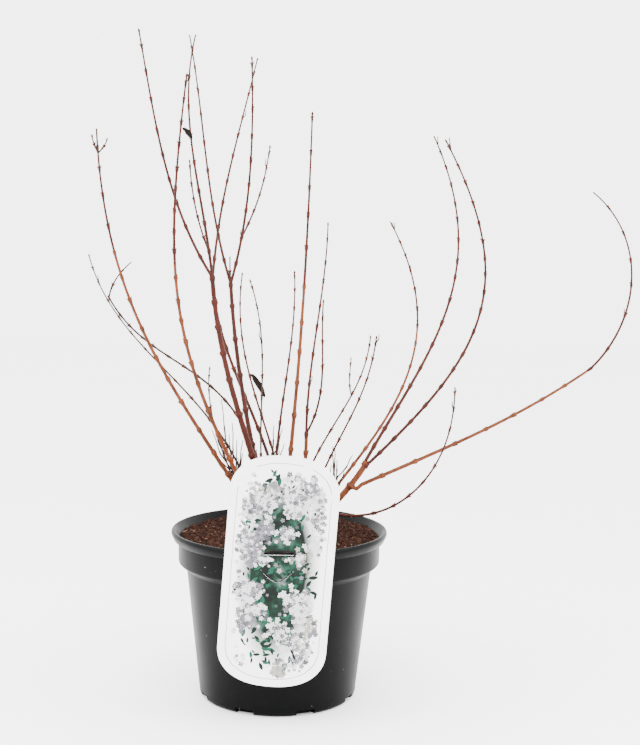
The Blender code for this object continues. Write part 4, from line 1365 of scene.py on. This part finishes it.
class DEUTZIA_OT_plant(bpy.types.Operator):
    """Grow the canes, boughs, twigs, buds, dry twigs and dead leaves"""

    bl_idname = "deutzia.plant"
    bl_label = "Plant"

    def execute(self, context):
        settings = context.scene.deutzia
        bends = make_plant(settings)
        dry = Shape()
        for thicket in THICKETS:
            make_thicket(thicket, dry)
        barks = {BARK_ORANGE: bark_surface("orange_bark", tuple(settings.bark_orange), 0.46),
                 BARK_RED: bark_surface("red_bark", tuple(settings.bark_red), 0.46),
                 BARK_TWIG: bark_surface("dull_bark", tuple(settings.bark_dark), 0.55)}
        for kind, shape in wood.canes.items():
            shape.build("canes_" + kind, barks[kind], "bark_" + kind, nodes_in("bark_" + kind), 55)
        for kind, shape in wood.twigs.items():
            shape.build("shoots_" + kind, barks[kind], "twigs_" + kind, nodes_in("twigs_" + kind), 55)
        wood.tips.build("shoot_tips", barks[BARK_TWIG], "twigs_dark", (), 55)
        scales = bark_surface("bud_scales", tuple(settings.bud_colour), 0.6)
        wood.buds.build("buds", scales, "twigs_dark", (), 50)
        dead = bark_surface("dry_wood", tuple(settings.dry_colour), 0.75)
        wood.scars.build("twig_stubs", dead, "dry_twigs", (), 50)
        dry.build("dry_twigs", dead, "dry_twigs", nodes_in("dry_twigs"), 50)
        crisp = rough_surface("dead_leaf_looks", [
            (0.3, (0.002, 0.0015, 0.001)), (0.55, (0.008, 0.0045, 0.003)), (0.8, (0.02, 0.011, 0.006))],
            600, 0.8, 0.0006)
        for leaf in LEAVES:
            leaf_shape(leaf, bends).build("crisp_" + leaf.name, crisp, "dead_leaf", [leaf.name], 60)
        return {"FINISHED"}


class DEUTZIA_OT_label(bpy.types.Operator):
    """Make the picture label on the pot's lip"""

    bl_idname = "deutzia.label"
    bl_label = "Label"

    def execute(self, context):
        make_label(context.scene.deutzia)
        return {"FINISHED"}


class DEUTZIA_OT_stage(bpy.types.Operator):
    """Set the floor, the lights and the camera"""

    bl_idname = "deutzia.stage"
    bl_label = "Stage"

    def execute(self, context):
        make_stage(context.scene.deutzia)
        return {"FINISHED"}


OPERATORS = (DEUTZIA_OT_pot, DEUTZIA_OT_compost, DEUTZIA_OT_plant, DEUTZIA_OT_label, DEUTZIA_OT_stage)


class DEUTZIA_PT_panel(bpy.types.Panel):
    """The steps that make the shrub, with its sizes and colours"""

    bl_idname = "DEUTZIA_PT_panel"
    bl_label = "Potted Deutzia"
    bl_space_type = "VIEW_3D"
    bl_region_type = "UI"
    bl_category = "Deutzia"

    def draw(self, context):
        column = self.layout.column()
        for step in OPERATORS:
            column.operator(step.bl_idname)
        for name in DeutziaSettings.__annotations__:
            column.prop(context.scene.deutzia, name)


CLASSES = (DeutziaSettings,) + OPERATORS + (DEUTZIA_PT_panel,)


def register():
    """Registers the classes and hangs the settings on the scene."""
    for each in CLASSES:
        bpy.utils.register_class(each)
    bpy.types.Scene.deutzia = bpy.props.PointerProperty(type=DeutziaSettings)


def unregister():
    """Takes the settings and classes away again."""
    del bpy.types.Scene.deutzia
    for each in reversed(CLASSES):
        bpy.utils.unregister_class(each)


def main():
    """Makes every piece in order."""
    register()
    bpy.ops.deutzia.pot()
    bpy.ops.deutzia.compost()
    bpy.ops.deutzia.plant()
    bpy.ops.deutzia.label()
    bpy.ops.deutzia.stage()


if __name__ == "__main__":
    main()
